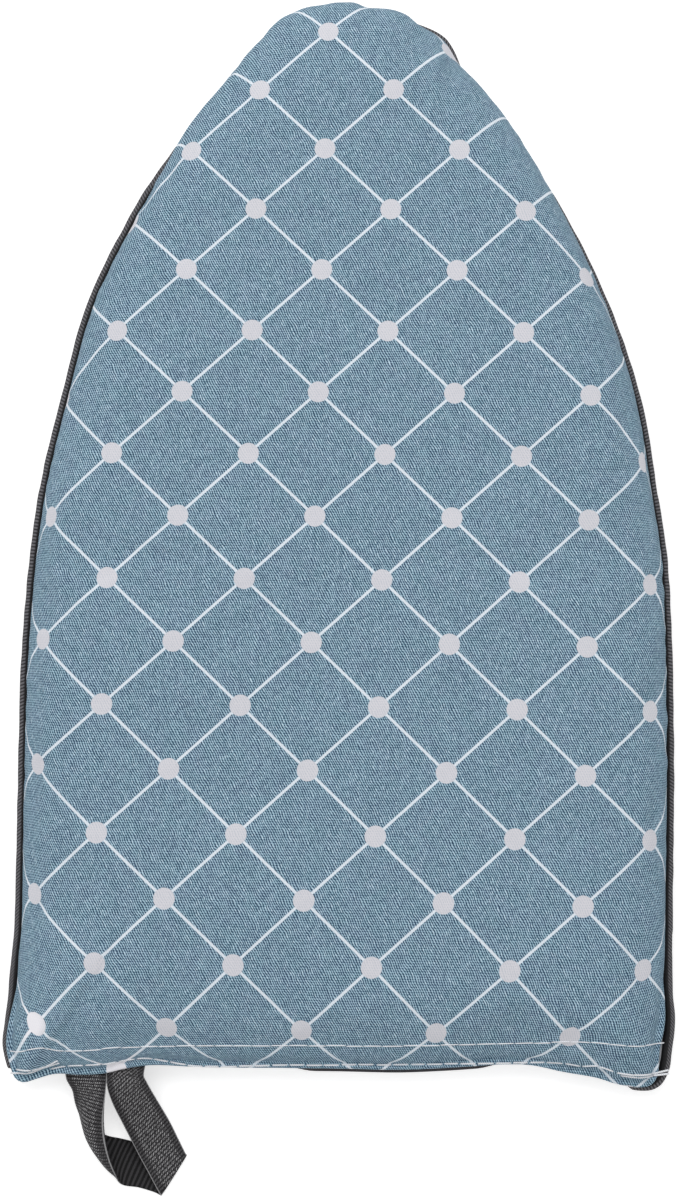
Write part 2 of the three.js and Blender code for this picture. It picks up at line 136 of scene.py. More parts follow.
# A sum of plane waves of about one wavelength in seeded directions, of mean square one
def softNoise(x, y, size, seed, count=14):
    random = np.random.default_rng(seed)
    lowest, highest = (0, 0.7, 0), (math.pi, 1.6, fullTurn)   # direction, share of the size, phase
    total = np.zeros(np.broadcast(x, y).shape)
    for angle, stretch, phase in random.uniform(lowest, highest, (count, 3)):
        turn = fullTurn / (size * stretch)
        total += np.cos(turn * (x * math.cos(angle) + y * math.sin(angle)) + phase)
    return total / math.sqrt(count / 2)


def unit(vectors):  # each brought to length one
    return vectors / np.maximum(np.linalg.norm(vectors, axis=-1, keepdims=True), 1e-12)


# Directions square to a grid of points, by the cross product of its two neighbour differences.
# They point outwards where the columns run clockwise and the rows run inwards, seen from outside.
def gridNormals(points, wrap=True):
    rows = np.gradient(points, axis=0)
    columns = np.roll(points, -1, 1) - np.roll(points, 1, 1) if wrap else np.gradient(points, axis=1)
    return unit(np.cross(rows, columns))


def lengthsAlong(points, axis=0):  # running length along a grid's rows, from 0
    steps = np.linalg.norm(np.diff(points, axis=axis), axis=-1)
    return np.concatenate([np.zeros_like(np.take(steps, [0], axis)), np.cumsum(steps, axis)], axis)


def raised(flat, level):  # plan places with a height
    return np.concatenate([flat, np.broadcast_to(level, flat.shape[:-1])[..., None]], -1)


# Rings from the first one, which is left out, in even steps towards the last
def ringsTowards(first, last, count, whole):
    return first + (last - first) * (np.arange(count) + 1)[:, None, None] / whole


def pairsOf(first, second):  # two arrays spread over each other, as pairs
    return np.stack(np.broadcast_arrays(first, second), -1)


# Mesh from groups of faces with as many corners each; uvGroups holds one pair for each corner.
# With closed set, the faces are turned so that the volume is positive.
def meshPiece(name, vertices, groups, uvGroups=None, closed=True):
    if closed:
        volume = 0.0
        for faces in groups:
            for corner in range(1, faces.shape[1] - 1):
                pair = np.cross(vertices[faces[:, corner]], vertices[faces[:, corner + 1]])
                volume += (vertices[faces[:, 0]] * pair).sum()
        if volume < 0:
            groups = [faces[:, ::-1] for faces in groups]
            uvGroups = [pairs[:, ::-1] for pairs in uvGroups]
    sizes = np.concatenate([np.full(len(faces), faces.shape[1]) for faces in groups])
    corners = np.concatenate([faces.ravel() for faces in groups]).astype(np.int32)
    mesh = bpy.data.meshes.new(name)
    mesh.vertices.add(len(vertices))
    mesh.vertices.foreach_set("co", (vertices * mm).astype(np.float32).ravel())
    mesh.loops.add(len(corners))
    mesh.loops.foreach_set("vertex_index", corners)
    mesh.polygons.add(len(sizes))
    mesh.polygons.foreach_set("loop_start", (np.cumsum(sizes) - sizes).astype(np.int32))
    if uvGroups:
        layer = mesh.uv_layers.new(name="cloth")
        pairs = np.concatenate([group.reshape(-1, 2) for group in uvGroups])
        layer.data.foreach_set("uv", pairs.astype(np.float32).ravel())
    mesh.update(calc_edges=True)
    mesh.validate()
    mesh.shade_smooth()
    return linked(name, mesh)


def linked(name, data, place=(0, 0, 0)):
    thing = bpy.data.objects.new(name, data)
    thing.location = Vector(place) * mm
    bpy.context.scene.collection.objects.link(thing)
    return thing


# Faces of rows x columns points whose last column joins its first, with each corner's row and
# column. That column runs one past the last, because uv meets itself there.
def gridFaces(rows, columns):
    row, column = [index.ravel() for index in np.indices((rows - 1, columns))]
    cornerRows = np.stack([row, row, row + 1, row + 1], 1)
    cornerColumns = np.stack([column, column + 1, column + 1, column], 1)
    return cornerRows * columns + cornerColumns % columns, cornerRows, cornerColumns


# A closed piece from such a grid. Its ends are fans to poles, each a point and its uv, or else
# flat caps.
def gridPiece(name, points, uv, poles=None):
    rows, columns = points.shape[:2]
    vertices = points.reshape(-1, 3)
    faces, cornerRows, cornerColumns = gridFaces(rows, columns)
    groups, uvGroups = [faces], [uv[cornerRows, cornerColumns]]
    column = np.arange(columns)
    if poles:
        for row, order, (point, middle) in zip((0, rows - 1), ((1, 0), (0, 1)), poles):
            corners = [column + shift for shift in order]
            fan = [row * columns + corner % columns for corner in corners]
            groups.append(np.stack([*fan, np.full(columns, len(vertices))], 1))
            pairs = [uv[row, corner] for corner in corners]
            uvGroups.append(np.stack([*pairs, np.broadcast_to(middle, (columns, 2))], 1))
            vertices = np.concatenate([vertices, [point]])
    else:
        for row, order in ((0, column[::-1]), (rows - 1, column)):
            groups.append((row * columns + order)[None])
            uvGroups.append(uv[row, order][None])
    return meshPiece(name, vertices, groups, uvGroups)


# Closed shell between two grids of rings that run from the edge to the middle
def shellPiece(name, upper, lower, upperUv=None, lowerUv=None):
    upperUv = upper[..., :2] if upperUv is None else upperUv
    lowerUv = lower[..., :2] if lowerUv is None else lowerUv
    uv = np.concatenate([lowerUv[::-1], upperUv])
    uv = np.concatenate([uv, uv[:, :1]], 1)
    poles = [(grid[-1].mean(0), pairs[-1].mean(0)) for grid, pairs in ((lower, lowerUv), (upper, upperUv))]
    return gridPiece(name, np.concatenate([lower[::-1], upper]), uv, poles)


# Many round tubes at once, along centres (tubes x steps x 3): each ring is the centre plus the
# radius times cosine and sine of the turn, along the side and up directions of the path.
def tubesPiece(name, centres, radius, sides=6):
    tubes, steps = centres.shape[:2]
    travel = unit(np.gradient(centres, axis=1))
    side = unit(np.cross(travel, (0, 0, 1.0)))
    up = np.cross(side, travel)
    turn = (np.arange(sides) * fullTurn / sides)[:, None]
    spokes = np.cos(turn) * side[:, :, None] + np.sin(turn) * up[:, :, None]
    points = centres[:, :, None] + radius * spokes
    faces, cornerRows, cornerColumns = gridFaces(steps, sides)
    starts = np.arange(tubes)[:, None, None] * steps * sides
    ring = np.arange(sides)
    ends = [starts[:, 0] + order for order in (ring[::-1], (steps - 1) * sides + ring)]
    uv = pairsOf(lengthsAlong(centres, 1)[:, cornerRows], cornerColumns / sides)
    flatUv = np.zeros((tubes, sides, 2))
    groups = [(starts + faces).reshape(-1, 4), *ends]
    return meshPiece(name, points.reshape(-1, 3), groups, [uv.reshape(-1, 4, 2), flatUv, flatUv])


# Shader maths

# A colour as it looks on screen, in 0 to 255, as the linear value that a shader takes
def tint(red, green, blue):
    parts = np.array([red, green, blue]) / 255
    linear = np.where(parts <= 0.04045, parts / 12.92, ((parts + 0.055) / 1.055) ** 2.4)
    return (*linear.tolist(), 1.0)


class Wire:  # a socket in a material's tree; arithmetic on it adds Math nodes

    def __init__(self, tree, socket=None):
        self.tree = tree
        self.socket = socket

    def into(self, target, value):  # a link, a number, or a colour in 0 to 255
        if isinstance(value, Wire):
            self.tree.links.new(value.socket, target)
        else:
            colour = target.type == "RGBA" and len(value) == 3
            target.default_value = tint(*value) if colour else value

    # Any node: settings first, then the values or links of its sockets, by number or name
    def add(self, kind, sockets, output=0, **settings):
        node = self.tree.nodes.new(kind)
        for name, value in settings.items():
            setattr(node, name, value)
        for name, value in sockets.items():
            self.into(node.inputs[name], value)
        return Wire(self.tree, node.outputs[output])

    def maths(self, operation, *values):
        return self.add("ShaderNodeMath", dict(enumerate(values)), operation=operation)

    def __add__(self, other):
        return self.maths("ADD", self, other)

    def __sub__(self, other):
        return self.maths("SUBTRACT", self, other)

    def __rsub__(self, other):
        return self.maths("SUBTRACT", other, self)

    def __mul__(self, other):
        return self.maths("MULTIPLY", self, other)

    def __truediv__(self, other):
        return self.maths("DIVIDE", self, other)

    __radd__ = __add__
    __rmul__ = __mul__

    def nearest(self):  # distance to the nearest whole number
        return self.maths("PINGPONG", self, 0.5)

    def wave(self, pitch):  # 0 to 1 and back in each pitch
        return self.maths("SINE", self * (fullTurn / pitch)) * 0.5 + 0.5

    def over(self, low, high, ends=(0.0, 1.0)):  # 0 below low, 1 above high
        sockets = {"Value": self, "From Min": low, "From Max": high, "To Min": ends[0], "To Max": ends[1]}
        return self.add("ShaderNodeMapRange", sockets, interpolation_type="SMOOTHSTEP")

    def under(self, low, high):  # 1 below low, 0 above high
        return self.over(low, high, (1.0, 0.0))

    def vector(self, x, y, z=0.0):
        return self.add("ShaderNodeCombineXYZ", {0: x, 1: y, 2: z})

    def places(self):  # x and y of the piece's own uv
        parts = self.add("ShaderNodeSeparateXYZ", {0: self.add("ShaderNodeUVMap", {}, uv_map="cloth")})
        return [Wire(self.tree, socket) for socket in parts.socket.node.outputs][:2]

    # Noise of x and y, each scaled, then its detail and roughness, and where in z it is taken
    def grain(self, x, y, xScale, yScale, detail=2.0, roughness=0.5, z=0.0):
        place = self.vector(x * xScale, y * yScale, z)
        sockets = {"Vector": place, "Scale": 1.0, "Detail": detail, "Roughness": roughness}
        return self.add("ShaderNodeTexNoise", sockets)

    def cells(self, x, y):  # a random number from 0 to 1 for each whole x and y
        place = self.vector(self.maths("FLOOR", x), self.maths("FLOOR", y))
        return self.add("ShaderNodeTexWhiteNoise", {"Vector": place}, noise_dimensions="2D")

    # The colour of the first where mask is 0, and of the second where it is 1
    def mix(self, mask, first, second):
        sockets = {0: mask, 6: first, 7: second}
        return self.add("ShaderNodeMix", sockets, 2, data_type="RGBA", clamp_factor=True)

    def shade(self, tone, ends, dark, light):  # from dark to light as the tone passes its ends
        return self.mix(tone.over(*ends), dark, light)


def weighed(parts, weights):  # their sum, each times its weight
    return sum(part * weight for part, weight in zip(parts, weights))


def openMaterial(name):
    material = bpy.data.materials.new(name)
    material.use_nodes = True
    return material, Wire(material.node_tree)


# Sets the shader's colour, its constant sockets and the others that vary. The bump in the values
# is how deep in mm a height of 0 to 1 is, and its strength.
def finished(material, wire, values, colour, height=None, **varied):
    sockets = {"Base Color": colour, **values["sockets"], **varied}
    if height:
        depth, strength = values["bump"]
        bump = {"Height": height, "Distance": depth * mm, "Strength": strength}
        sockets["Normal"] = wire.add("ShaderNodeBump", bump)
    for socket, value in sockets.items():
        wire.into(wire.tree.nodes["Principled BSDF"].inputs[socket], value)
    return material


# Camera, light and floor

def makeCamera():
    data = bpy.data.cameras.new("camera")
    data.lens, data.sensor_width, data.clip_end = stage["lens"], stage["sensor"], stage["clipEnd"]
    distance = stage["frameHeight"] * stage["lens"] / stage["sensor"]
    camera = linked("camera", data, (*stage["frameCentre"], stage["focusLevel"] + distance))
    bpy.context.scene.camera = camera


def makeLamps():
    for name, place, power in stage["lamps"]:
        data = bpy.data.lights.new(name, "AREA")
        data.size, data.energy = stage["lampSize"] * mm, power
        lamp = linked(name, data, place)
        lamp.rotation_euler = (-lamp.location).to_track_quat("-Z", "Y").to_euler()


def seenRays(wire):  # 1 for rays that show what they hit: the camera's, and those off a gloss
    kinds = ("Is Camera Ray", "Is Glossy Ray", "Is Transmission Ray")
    camera, glossy, through = [wire.add("ShaderNodeLightPath", {}, kind) for kind in kinds]
    return camera + glossy + through


# White to the camera. It is clear to what comes from below and to a surface's look for its lamps,
# so that the back can be seen and lit.
def makeFloor():
    corners = np.array([(-1, -1, 0), (1, -1, 0), (1, 1, 0), (-1, 1, 0)]) * stage["floorHalf"]
    floor = meshPiece("floor", corners, [np.arange(4)[None]], closed=False)
    material, wire = openMaterial("floorWhite")
    finished(material, wire, stage["floor"], stage["floor"]["colour"])
    plain = Wire(wire.tree, wire.tree.nodes["Principled BSDF"].outputs[0])
    glow = wire.add("ShaderNodeEmission", {"Color": (1, 1, 1, 1), "Strength": stage["floorGlow"]})
    bright = wire.add("ShaderNodeAddShader", {0: plain, 1: glow})
    above = wire.add("ShaderNodeMixShader", {0: seenRays(wire), 1: plain, 2: bright})
    below = wire.add("ShaderNodeNewGeometry", {}, "Backfacing")
    gone = wire.maths("MAXIMUM", below, wire.add("ShaderNodeLightPath", {}, "Is Shadow Ray"))
    clear = wire.add("ShaderNodeBsdfTransparent", {})
    shown = wire.add("ShaderNodeMixShader", {0: gone, 1: above, 2: clear})
    wire.into(wire.tree.nodes["Material Output"].inputs["Surface"], shown)
    floor.data.materials.append(material)


def makeStage():
    scene = bpy.context.scene
    scene.view_settings.view_transform = "Standard"
    scene.world = bpy.data.worlds.new("softRoom")
    scene.world.use_nodes = True
    wire = Wire(scene.world.node_tree)
    light, white = [
        wire.add("ShaderNodeBackground", {"Color": (1, 1, 1, 1), "Strength": strength})
        for strength in (stage["worldStrength"], 1.0)
    ]
    room = wire.add("ShaderNodeMixShader", {0: seenRays(wire), 1: light, 2: white})
    wire.into(wire.tree.nodes["World Output"].inputs["Surface"], room)
    makeCamera()
    makeLamps()
    makeFloor()
    print("stage ready")


# Materials. The uv of the face cloth counts half repeats of its print, and every other uv is in mm.
# A pair named ends is where something begins and where it is full, and a shade is its ends, dark
# and light. A noise is its two scales in 1/mm, then its detail, roughness and place.

twill = {
    "halfRepeat": 23.9,      # between two columns of dots
    "rowRepeat": 21.88,      # between two rows of dots
    "dotRadius": 3.68,
    "lineWidth": 0.94,
    "inkEdge": 0.14,
    "inkNoise": (1.6, 1.6, 1.0),
    "strandLean": 62.0,      # degrees from the hem
    "strandPitch": 0.78,
    "strandLength": 1.1,
    "strandShift": 3.0,
    "drift": (0.22, 0.22, 1.0),
    "driftReach": 1.2,
    "fibres": (3.6, 2.4, 1.0, 0.5, 7.0),
    "weftPitch": 0.86,
    "weftDrift": 0.3,
    "weights": (1.22, 0.66, 0.36, 1.45),   # of ridges, weft, strands and fibres
    "patches": (0.14, 0.14, 3.0, 0.6),
    "patchEnds": (0.3, 0.7),
    "teal": (93, 138, 152),
    "violet": (112, 130, 160),
    "evenness": 0.5,
    "middle": (103, 133, 156),
    "dark": (33, 59, 83),
    "darkEnds": (-0.1, 0.55),
    "light": (169, 198, 213),
    "lightEnds": (0.45, 1.1),
    "sparkle": (216, 239, 252),
    "fleckSize": (0.3, 0.8),
    "fleckEnds": (0.86, 0.95),
    "fleckRidge": (0.3, 0.8),
    "fleckStrength": 0.58,
    "dotInk": (212, 211, 217),
    "lineInk": (224, 232, 240),
    "thinEnds": (0.0, 0.5),
    "thinInk": 0.22,         # how much cloth shows through the ink in the weave's hollows
    "paintedLightInk": (246, 244, 249),
    "paintedLightShare": 0.75,
    "paintedLightFull": 0.6,        # out to this share of the reach
    # painted light on the print: each place and reach where it is painted whiter
    "paintedLightSpots": [((-105.3, -166.1, 18.0), 9.5), ((-77.5, -182.5, 14.0), 11.5)],
    "roughness": 0.86,
    "inkSmoother": 0.2,
    "inkFlatter": 0.7,
    "sockets": {"Specular IOR Level": 0.3},
    "bump": (0.1, 0.6),
}


# Short slanting strands of random tone, with soft drift and a few white flecks. Ink lies where a
# point is near a lattice line, or near a crossing of two lines.
def printedTwill():
    material, wire = openMaterial("printedTwill")
    across, down = wire.places()
    x, y = across * twill["halfRepeat"], down * twill["rowRepeat"]
    lean = math.radians(twill["strandLean"])
    drift = (wire.grain(x, y, *twill["drift"]) - 0.5) * twill["driftReach"]
    beside = x * math.sin(lean) - y * math.cos(lean) + drift
    along = x * math.cos(lean) + y * math.sin(lean)
    strand = beside / twill["strandPitch"]
    inStrand = {"W": wire.maths("FLOOR", strand)}
    shift = wire.add("ShaderNodeTexWhiteNoise", inStrand, noise_dimensions="1D")
    tones = wire.cells(strand, along / twill["strandLength"] + shift * twill["strandShift"])
    ridge = strand.wave(1.0)
    weft = (y + drift * twill["weftDrift"]).wave(twill["weftPitch"])
    fibres = wire.grain(beside, along, *twill["fibres"])
    parts = [part - 0.5 for part in (ridge, weft, tones, fibres)]
    tone = weighed(parts, twill["weights"]) + 0.5
    patches = wire.grain(x, y, *twill["patches"])
    middle = wire.mix(patches.over(*twill["patchEnds"]), twill["teal"], twill["violet"])
    middle = wire.mix(twill["evenness"], middle, twill["middle"])
    dyed = wire.mix(tone.under(*twill["darkEnds"]), middle, twill["dark"])
    dyed = wire.mix(tone.over(*twill["lightEnds"]), dyed, twill["light"])
    wide, long = twill["fleckSize"]
    flecks = wire.cells(beside / wide, along / long).over(*twill["fleckEnds"])
    flecks = flecks * ridge.over(*twill["fleckRidge"]) * twill["fleckStrength"]
    dyed = wire.mix(flecks, dyed, twill["sparkle"])

    p, q = (across + down) * 0.5, (across - down) * 0.5
    nearP, nearQ = [wire.maths("WRAP", value, 0.5, -0.5) for value in (p, q)]
    apart = 2 / math.hypot(1 / twill["halfRepeat"], 1 / twill["rowRepeat"])
    edge = twill["inkEdge"]
    ragged = (wire.grain(x, y, *twill["inkNoise"]) - 0.5) * edge * 2
    lineGap = wire.maths("MINIMUM", p.nearest(), q.nearest()) * apart + ragged
    dotX, dotY = (nearP + nearQ) * twill["halfRepeat"], (nearP - nearQ) * twill["rowRepeat"]
    dotGap = wire.maths("SQRT", dotX * dotX + dotY * dotY) + ragged
    sizes = ((lineGap, twill["lineWidth"] / 2), (dotGap, twill["dotRadius"]))
    lines, dots = [gap.under(size - edge, size + edge) for gap, size in sizes]
    ink = wire.maths("MAXIMUM", lines, dots)
    inked = wire.mix(dots, twill["lineInk"], twill["dotInk"])
    inked = wire.mix(tone.under(*twill["thinEnds"]) * twill["thinInk"], inked, middle)
    # painted light: the print is painted whiter where the cloth tips over at the hem's left corner, and
    # above the webbing
    onPiece = wire.add("ShaderNodeTexCoord", {}, "Object")
    for place, reach in twill["paintedLightSpots"]:
        sockets = {0: onPiece, 1: [value * mm for value in place]}
        away = wire.add("ShaderNodeVectorMath", sockets, "Value", operation="DISTANCE")
        white = away.under(reach * twill["paintedLightFull"] * mm, reach * mm)
        inked = wire.mix(white * twill["paintedLightShare"], inked, twill["paintedLightInk"])
    height = tone * (1 - ink * twill["inkFlatter"])
    roughness = twill["roughness"] - ink * twill["inkSmoother"]
    return finished(material, wire, twill, wire.mix(ink, dyed, inked), height, Roughness=roughness)


tape = {
    "ribPitch": 1.2,
    "yarn": (1.3, 3.0),
    "ribDrift": 0.35,
    "weights": (0.6, 0.4),   # of ribs and yarn
    "shade": [(0.15, 0.85), (27, 26, 30), (108, 107, 111)],
    "grooveShade": (10, 9, 12),   # painted shade in the groove beside the cloth, over these places round the tape
    "grooveShadeEnds": (6.5, 7.3),
    "sockets": {"Roughness": 0.78, "Specular IOR Level": 0.35},
    "bump": (0.12, 0.8),
}


def ribbedTape():  # fine ribs across the tape, roughened by yarn noise
    material, wire = openMaterial("ribbedTape")
    along, around = wire.places()
    yarn = wire.grain(along, around, *tape["yarn"])
    ribs = (along + yarn * tape["ribDrift"]).wave(tape["ribPitch"])
    tone = weighed((ribs, yarn), tape["weights"])
    shade = wire.shade(tone, *tape["shade"])
    # painted shade: the tape is painted near black where it lies in the groove beside the cloth
    shade = wire.mix(around.under(*tape["grooveShadeEnds"]), shade, tape["grooveShade"])
    return finished(material, wire, tape, shade, tone)


strap = {
    "width": 15.0,
    "thickness": 1.0,
    "backShift": 100.0,      # the strap's under face has its uv this far across
    "yarn": (1.5, 1.5),
    "rowPitch": 1.25,
    "rowDrift": 0.3,
    "rowLean": 0.05,
    "columnPitch": 0.82,
    "columnStep": 0.42,      # from one row to the next
    "columnLean": 0.75,
    "columnDrift": 0.25,
    "weights": (0.35, 0.45, 0.2),      # of rows, floats and yarn in the middle
    "edgeWeights": (0.75, 0.25),       # of rows and yarn at the selvedges
    "selvedgeEnds": (1.8, 3.0),
    "shade": [(0.15, 0.95), (25, 24, 26), (58, 57, 59)],
    "glint": (196, 195, 197),
    "glintRows": (0.1, 0.6),
    "glintFloats": (0.35, 0.8),
    "glintYarn": (0.35, 0.6),
    "glintStrength": 0.78,
    "edgeDuller": 0.8,
    "highlightEdge": (0.15, 0.4),
    "highlightStrength": 0.6,
    "backPitch": 1.7,
    "underFaceShaded": [(0.25, 0.9), (10, 10, 11), (54, 53, 55)],
    "sockets": {"Roughness": 0.75, "Specular IOR Level": 0.2},
    "bump": (0.2, 0.8),
}


# Rows of slanting floats over the middle with painted glints, plain ribs at the two selvedges, a painted
# highlight along the outermost thread, and bolder ribs on the under face, painted darker as shade
def ribbedWebbing():
    material, wire = openMaterial("ribbedWebbing")
    along, acrossBoth = wire.places()
    back = wire.maths("GREATER_THAN", acrossBoth, strap["backShift"] / 2)
    across = acrossBoth - back * strap["backShift"]
    yarn = wire.grain(along, across, *strap["yarn"])
    drifted = along + yarn * strap["rowDrift"]
    rows = (drifted - across * strap["rowLean"]).wave(strap["rowPitch"])
    turned = wire.maths("FLOOR", along / strap["rowPitch"]) * strap["columnStep"]
    turned = turned + along * strap["columnLean"] + yarn * strap["columnDrift"]
    floats = (across + turned).wave(strap["columnPitch"])
    fromEdge = wire.maths("MINIMUM", across, strap["width"] - across)
    edge = fromEdge.under(*strap["selvedgeEnds"])
    middle = weighed((rows, floats, yarn), strap["weights"])
    border = weighed((rows, yarn), strap["edgeWeights"])
    tone = middle * (1 - edge) + border * edge
    shade = wire.shade(tone, *strap["shade"])
    # painted highlight: bright glints painted on the floats over the middle of the strap
    glint = rows.over(*strap["glintRows"]) * floats.over(*strap["glintFloats"])
    glint = glint * (1 - edge * strap["edgeDuller"]) * yarn.over(*strap["glintYarn"])
    # painted highlight along the outermost thread at each selvedge
    wearAndHighlight = fromEdge.under(*strap["highlightEdge"]) * strap["highlightStrength"]
    glint = wire.maths("MAXIMUM", glint * strap["glintStrength"], wearAndHighlight)
    shade = wire.mix(glint, shade, strap["glint"])
    # painted shade: the under face is painted darker for the shade it lies in, over its bolder ribs
    under = wire.shade(drifted.wave(strap["backPitch"]), *strap["underFaceShaded"])
    return finished(material, wire, strap, wire.mix(back, shade, under), tone)


weave = {
    "pitch": 0.8,
    "yarn": (1.2, 2.6),
    "drift": 0.15,
    "weights": (0.7, 0.3),   # of threads and yarn
    "shade": [(0.1, 0.8), (52, 51, 54), (94, 93, 97)],
    "wear": (0.03, 0.03, 3.0),
    "wearEnds": (0.45, 0.75),
    "wearShare": 0.25,
    "wearAndHighlight": (104, 103, 107),
    "sockets": {"Roughness": 0.85, "Specular IOR Level": 0.3},
    "bump": (0.12, 0.8),
}


def plainWeave():  # warp over weft by turns: the product of two waves, with yarn noise
    material, wire = openMaterial("plainWeave")
    x, y = wire.places()
    yarn = wire.grain(x, y, *weave["yarn"])
    warp, weft = x.wave(weave["pitch"]), (y + yarn * weave["drift"]).wave(weave["pitch"])
    threads = wire.maths("MAXIMUM", warp * (1 - weft), weft * (1 - warp))
    tone = weighed((threads, yarn), weave["weights"])
    shade = wire.shade(tone, *weave["shade"])
    wear = wire.grain(x, y, *weave["wear"]).over(*weave["wearEnds"])
    shade = wire.mix(wear * weave["wearShare"], shade, weave["wearAndHighlight"])
    return finished(material, wire, weave, shade, tone)


coating = {
    "crinkles": (0.12, 0.12, 4.0, 0.6),
    "threadPitch": 0.5,
    "weights": (0.8, 0.2),   # of crinkles and threads
    "shade": [(0.3, 0.7), (150, 154, 160), (182, 186, 192)],
    "smoothest": 0.4,
    "rougher": 0.2,
    "sockets": {"Metallic": 0.35},
    "bump": (0.25, 0.6),
}


def coatedLining():  # silver-grey coat over a fine weave, with soft crinkles
    material, wire = openMaterial("coatedLining")
    x, y = wire.places()
    crinkle = wire.grain(x, y, *coating["crinkles"])
    fine = x.wave(coating["threadPitch"]) * y.wave(coating["threadPitch"])
    height = weighed((crinkle, fine), coating["weights"])
    roughness = crinkle * coating["rougher"] + coating["smoothest"]
    shade = wire.shade(crinkle, *coating["shade"])
    return finished(material, wire, coating, shade, height, Roughness=roughness)


wadding = {
    "fibres": [(0.8, 2.8, 4.0, 0.7), (2.8, 0.8, 4.0, 0.7, 5.0)],
    "feltShade": [(0.4, 0.75), (205, 200, 190), (240, 237, 230)],
    "cellScale": 900.0,      # in 1/m
    "foamShade": [(0.1, 0.5), (168, 160, 122), (222, 217, 190)],
    "sockets": {"Roughness": 0.95},
    "bump": (0.3, 0.8),
}


def needledFelt():  # short fibres lying every way, with needle pits
    material, wire = openMaterial("needledFelt")
    x, y = wire.places()
    tone = wire.maths("MAXIMUM", *[wire.grain(x, y, *fibres) for fibres in wadding["fibres"]])
    return finished(material, wire, wadding, wire.shade(tone, *wadding["feltShade"]), tone)


def openFoam():  # open cells: pits at the middles of a cell pattern
    material, wire = openMaterial("openFoam")
    sockets = {"Vector": wire.add("ShaderNodeTexCoord", {}, "Object"), "Scale": wadding["cellScale"]}
    cells = wire.add("ShaderNodeTexVoronoi", sockets)
    return finished(material, wire, wadding, wire.shade(cells, *wadding["foamShade"]), cells)


thread = {
    "pale": [(0.1, 0.9), (212, 215, 221), (248, 249, 252)],
    "dark": [(0.1, 0.9), (62, 61, 64), (112, 111, 114)],
    "twist": (1.4, 2.0),     # plies in a mm, and round the thread
    "sockets": {"Roughness": 0.55},
    "bump": (0.05, 0.6),
}


def sewingThread(name):  # two plies twisted together
    material, wire = openMaterial(name + "Thread")
    along, turn = wire.places()
    plies = weighed((along, turn), thread["twist"]).wave(1.0)
    return finished(material, wire, thread, wire.shade(plies, *thread[name]), plies)


def makeMaterials():
    made = {
        "printed_twill": printedTwill(),
        "piping_tape": ribbedTape(),
        "webbing": ribbedWebbing(),
        "back_cloth": plainWeave(),
        "coated_lining": coatedLining(),
        "felt": needledFelt(),
        "foam": openFoam(),
        "pale_thread": sewingThread("pale"),
        "dark_thread": sewingThread("dark"),
    }
    print("materials ready")
    return made


def dress(piece, slot, nodes, body="pad"):
    piece.data.materials.append(materials[slot])
    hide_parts(*nodes)
    if body:
        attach(piece, body)


# The pad in plan. Going round from the hem's left corner, each point is x, y and how far the
# face cloth's edge lies inside the outline, where the edging shows.

plan = {
    "outline": [
        (-113.7, -186.0, 0.5), (-115.8, -181.8, 0.9), (-117.2, -176.2, 0.9), (-117.5, -172.0, 1.2),
        (-116.8, -165.7, 1.7), (-115.8, -158.8, 2.5), (-114.7, -145.8, 2.8), (-113.5, -133.6, 2.7),
        (-112.3, -88.2, 2.4), (-110.6, -32.3, 2.6), (-105.3, 16.6, 2.5), (-97.3, 51.5, 2.5),
        (-87.5, 86.5, 2.5), (-73.9, 114.4, 2.5), (-63.0, 134.0, 2.6), (-57.5, 142.7, 2.1),
        (-50.5, 151.1, 0.9), (-39.3, 163.3, 0.1), (-32.3, 171.7, 0.0), (-24.6, 180.2, 0.0),
        (-19.0, 185.3, 0.0), (-13.4, 187.9, 0.0), (-6.5, 189.3, 0.0), (0.5, 190.3, 0.0),
        (5.8, 190.2, 0.0), (9.6, 188.6, 0.0), (14.5, 188.2, 0.0), (19.7, 187.6, 0.0),
        (24.3, 185.8, 0.1), (28.5, 183.2, 0.8), (34.1, 180.4, 1.1), (38.2, 177.3, 1.3),
        (41.0, 173.4, 1.5), (43.1, 169.9, 1.3), (48.7, 162.2, 0.0), (59.2, 149.3, 0.1),
        (76.7, 121.4, 0.6), (94.1, 86.5, 1.3), (106.0, 51.5, 2.1), (112.0, 16.6, 2.2),
        (114.7, -0.5, 2.2), (116.4, -25.3, 2.4), (117.4, -74.2, 2.7), (116.9, -130.1, 2.8),
        (116.9, -154.6, 2.9), (117.7, -165.0, 3.1), (116.8, -175.5, 3.6), (115.6, -182.5, 4.4),
        (113.3, -187.4, 2.8), (110.2, -189.5, 1.5), (105.7, -190.0, 0.9), (97.3, -188.4, 0.4),
        (90.3, -186.0, 0.2), (78.1, -183.6, 0.0), (66.9, -181.3, 0.0), (56.4, -181.1, 0.0),
        (38.9, -182.2, 0.0), (21.5, -182.9, 0.0), (0.5, -182.5, 0.0), (-20.4, -182.3, 0.0),
        (-48.4, -182.0, 0.0), (-65.8, -181.3, 0.0), (-74.6, -182.5, 0.0), (-81.6, -184.1, 0.0),
        (-90.3, -184.6, 0.0), (-98.7, -184.3, 0.0), (-104.6, -185.8, 0.0), (-110.6, -187.5, 0.2),
    ],
    "edgingStart": (-114.0, -185.6),
    "edgingEnd": (99.0, -188.6),
    "findStations": 2000,
    "innerShare": 0.35,
    "crownPlace": -9.5,
    "rayFloor": 0.6,
    "hemEnds": (-172.0, -144.0),   # the sides take the hem's section below these
    "tipEnds": (114.0, 161.0),     # the seam tucks under the cloth above these
    "pinch": (35.0, 178.0),        # where a fold at the tip pulls the edging out
    "pinchReach": 13.5,
    "liningGap": 0.3,              # from the lining up to the base of the padding
    "crownSunk": 0.6,              # of the crown's middle under the solid cover's top
}

coverBox, liningBox, edgingBox = [
    np.array(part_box(node))[:, 2] / mm for node in ("face_cover", "pad_lining", "piping_cover")
]
levels = {
    "liningBottom": liningBox[0],
    "liningTop": liningBox[1],
    "base": liningBox[1] + plan["liningGap"],
    "crown": coverBox[1] - plan["crownSunk"],
    "seam": edgingBox.sum() / 2,
}
levels["rise"] = levels["crown"] - levels["base"]


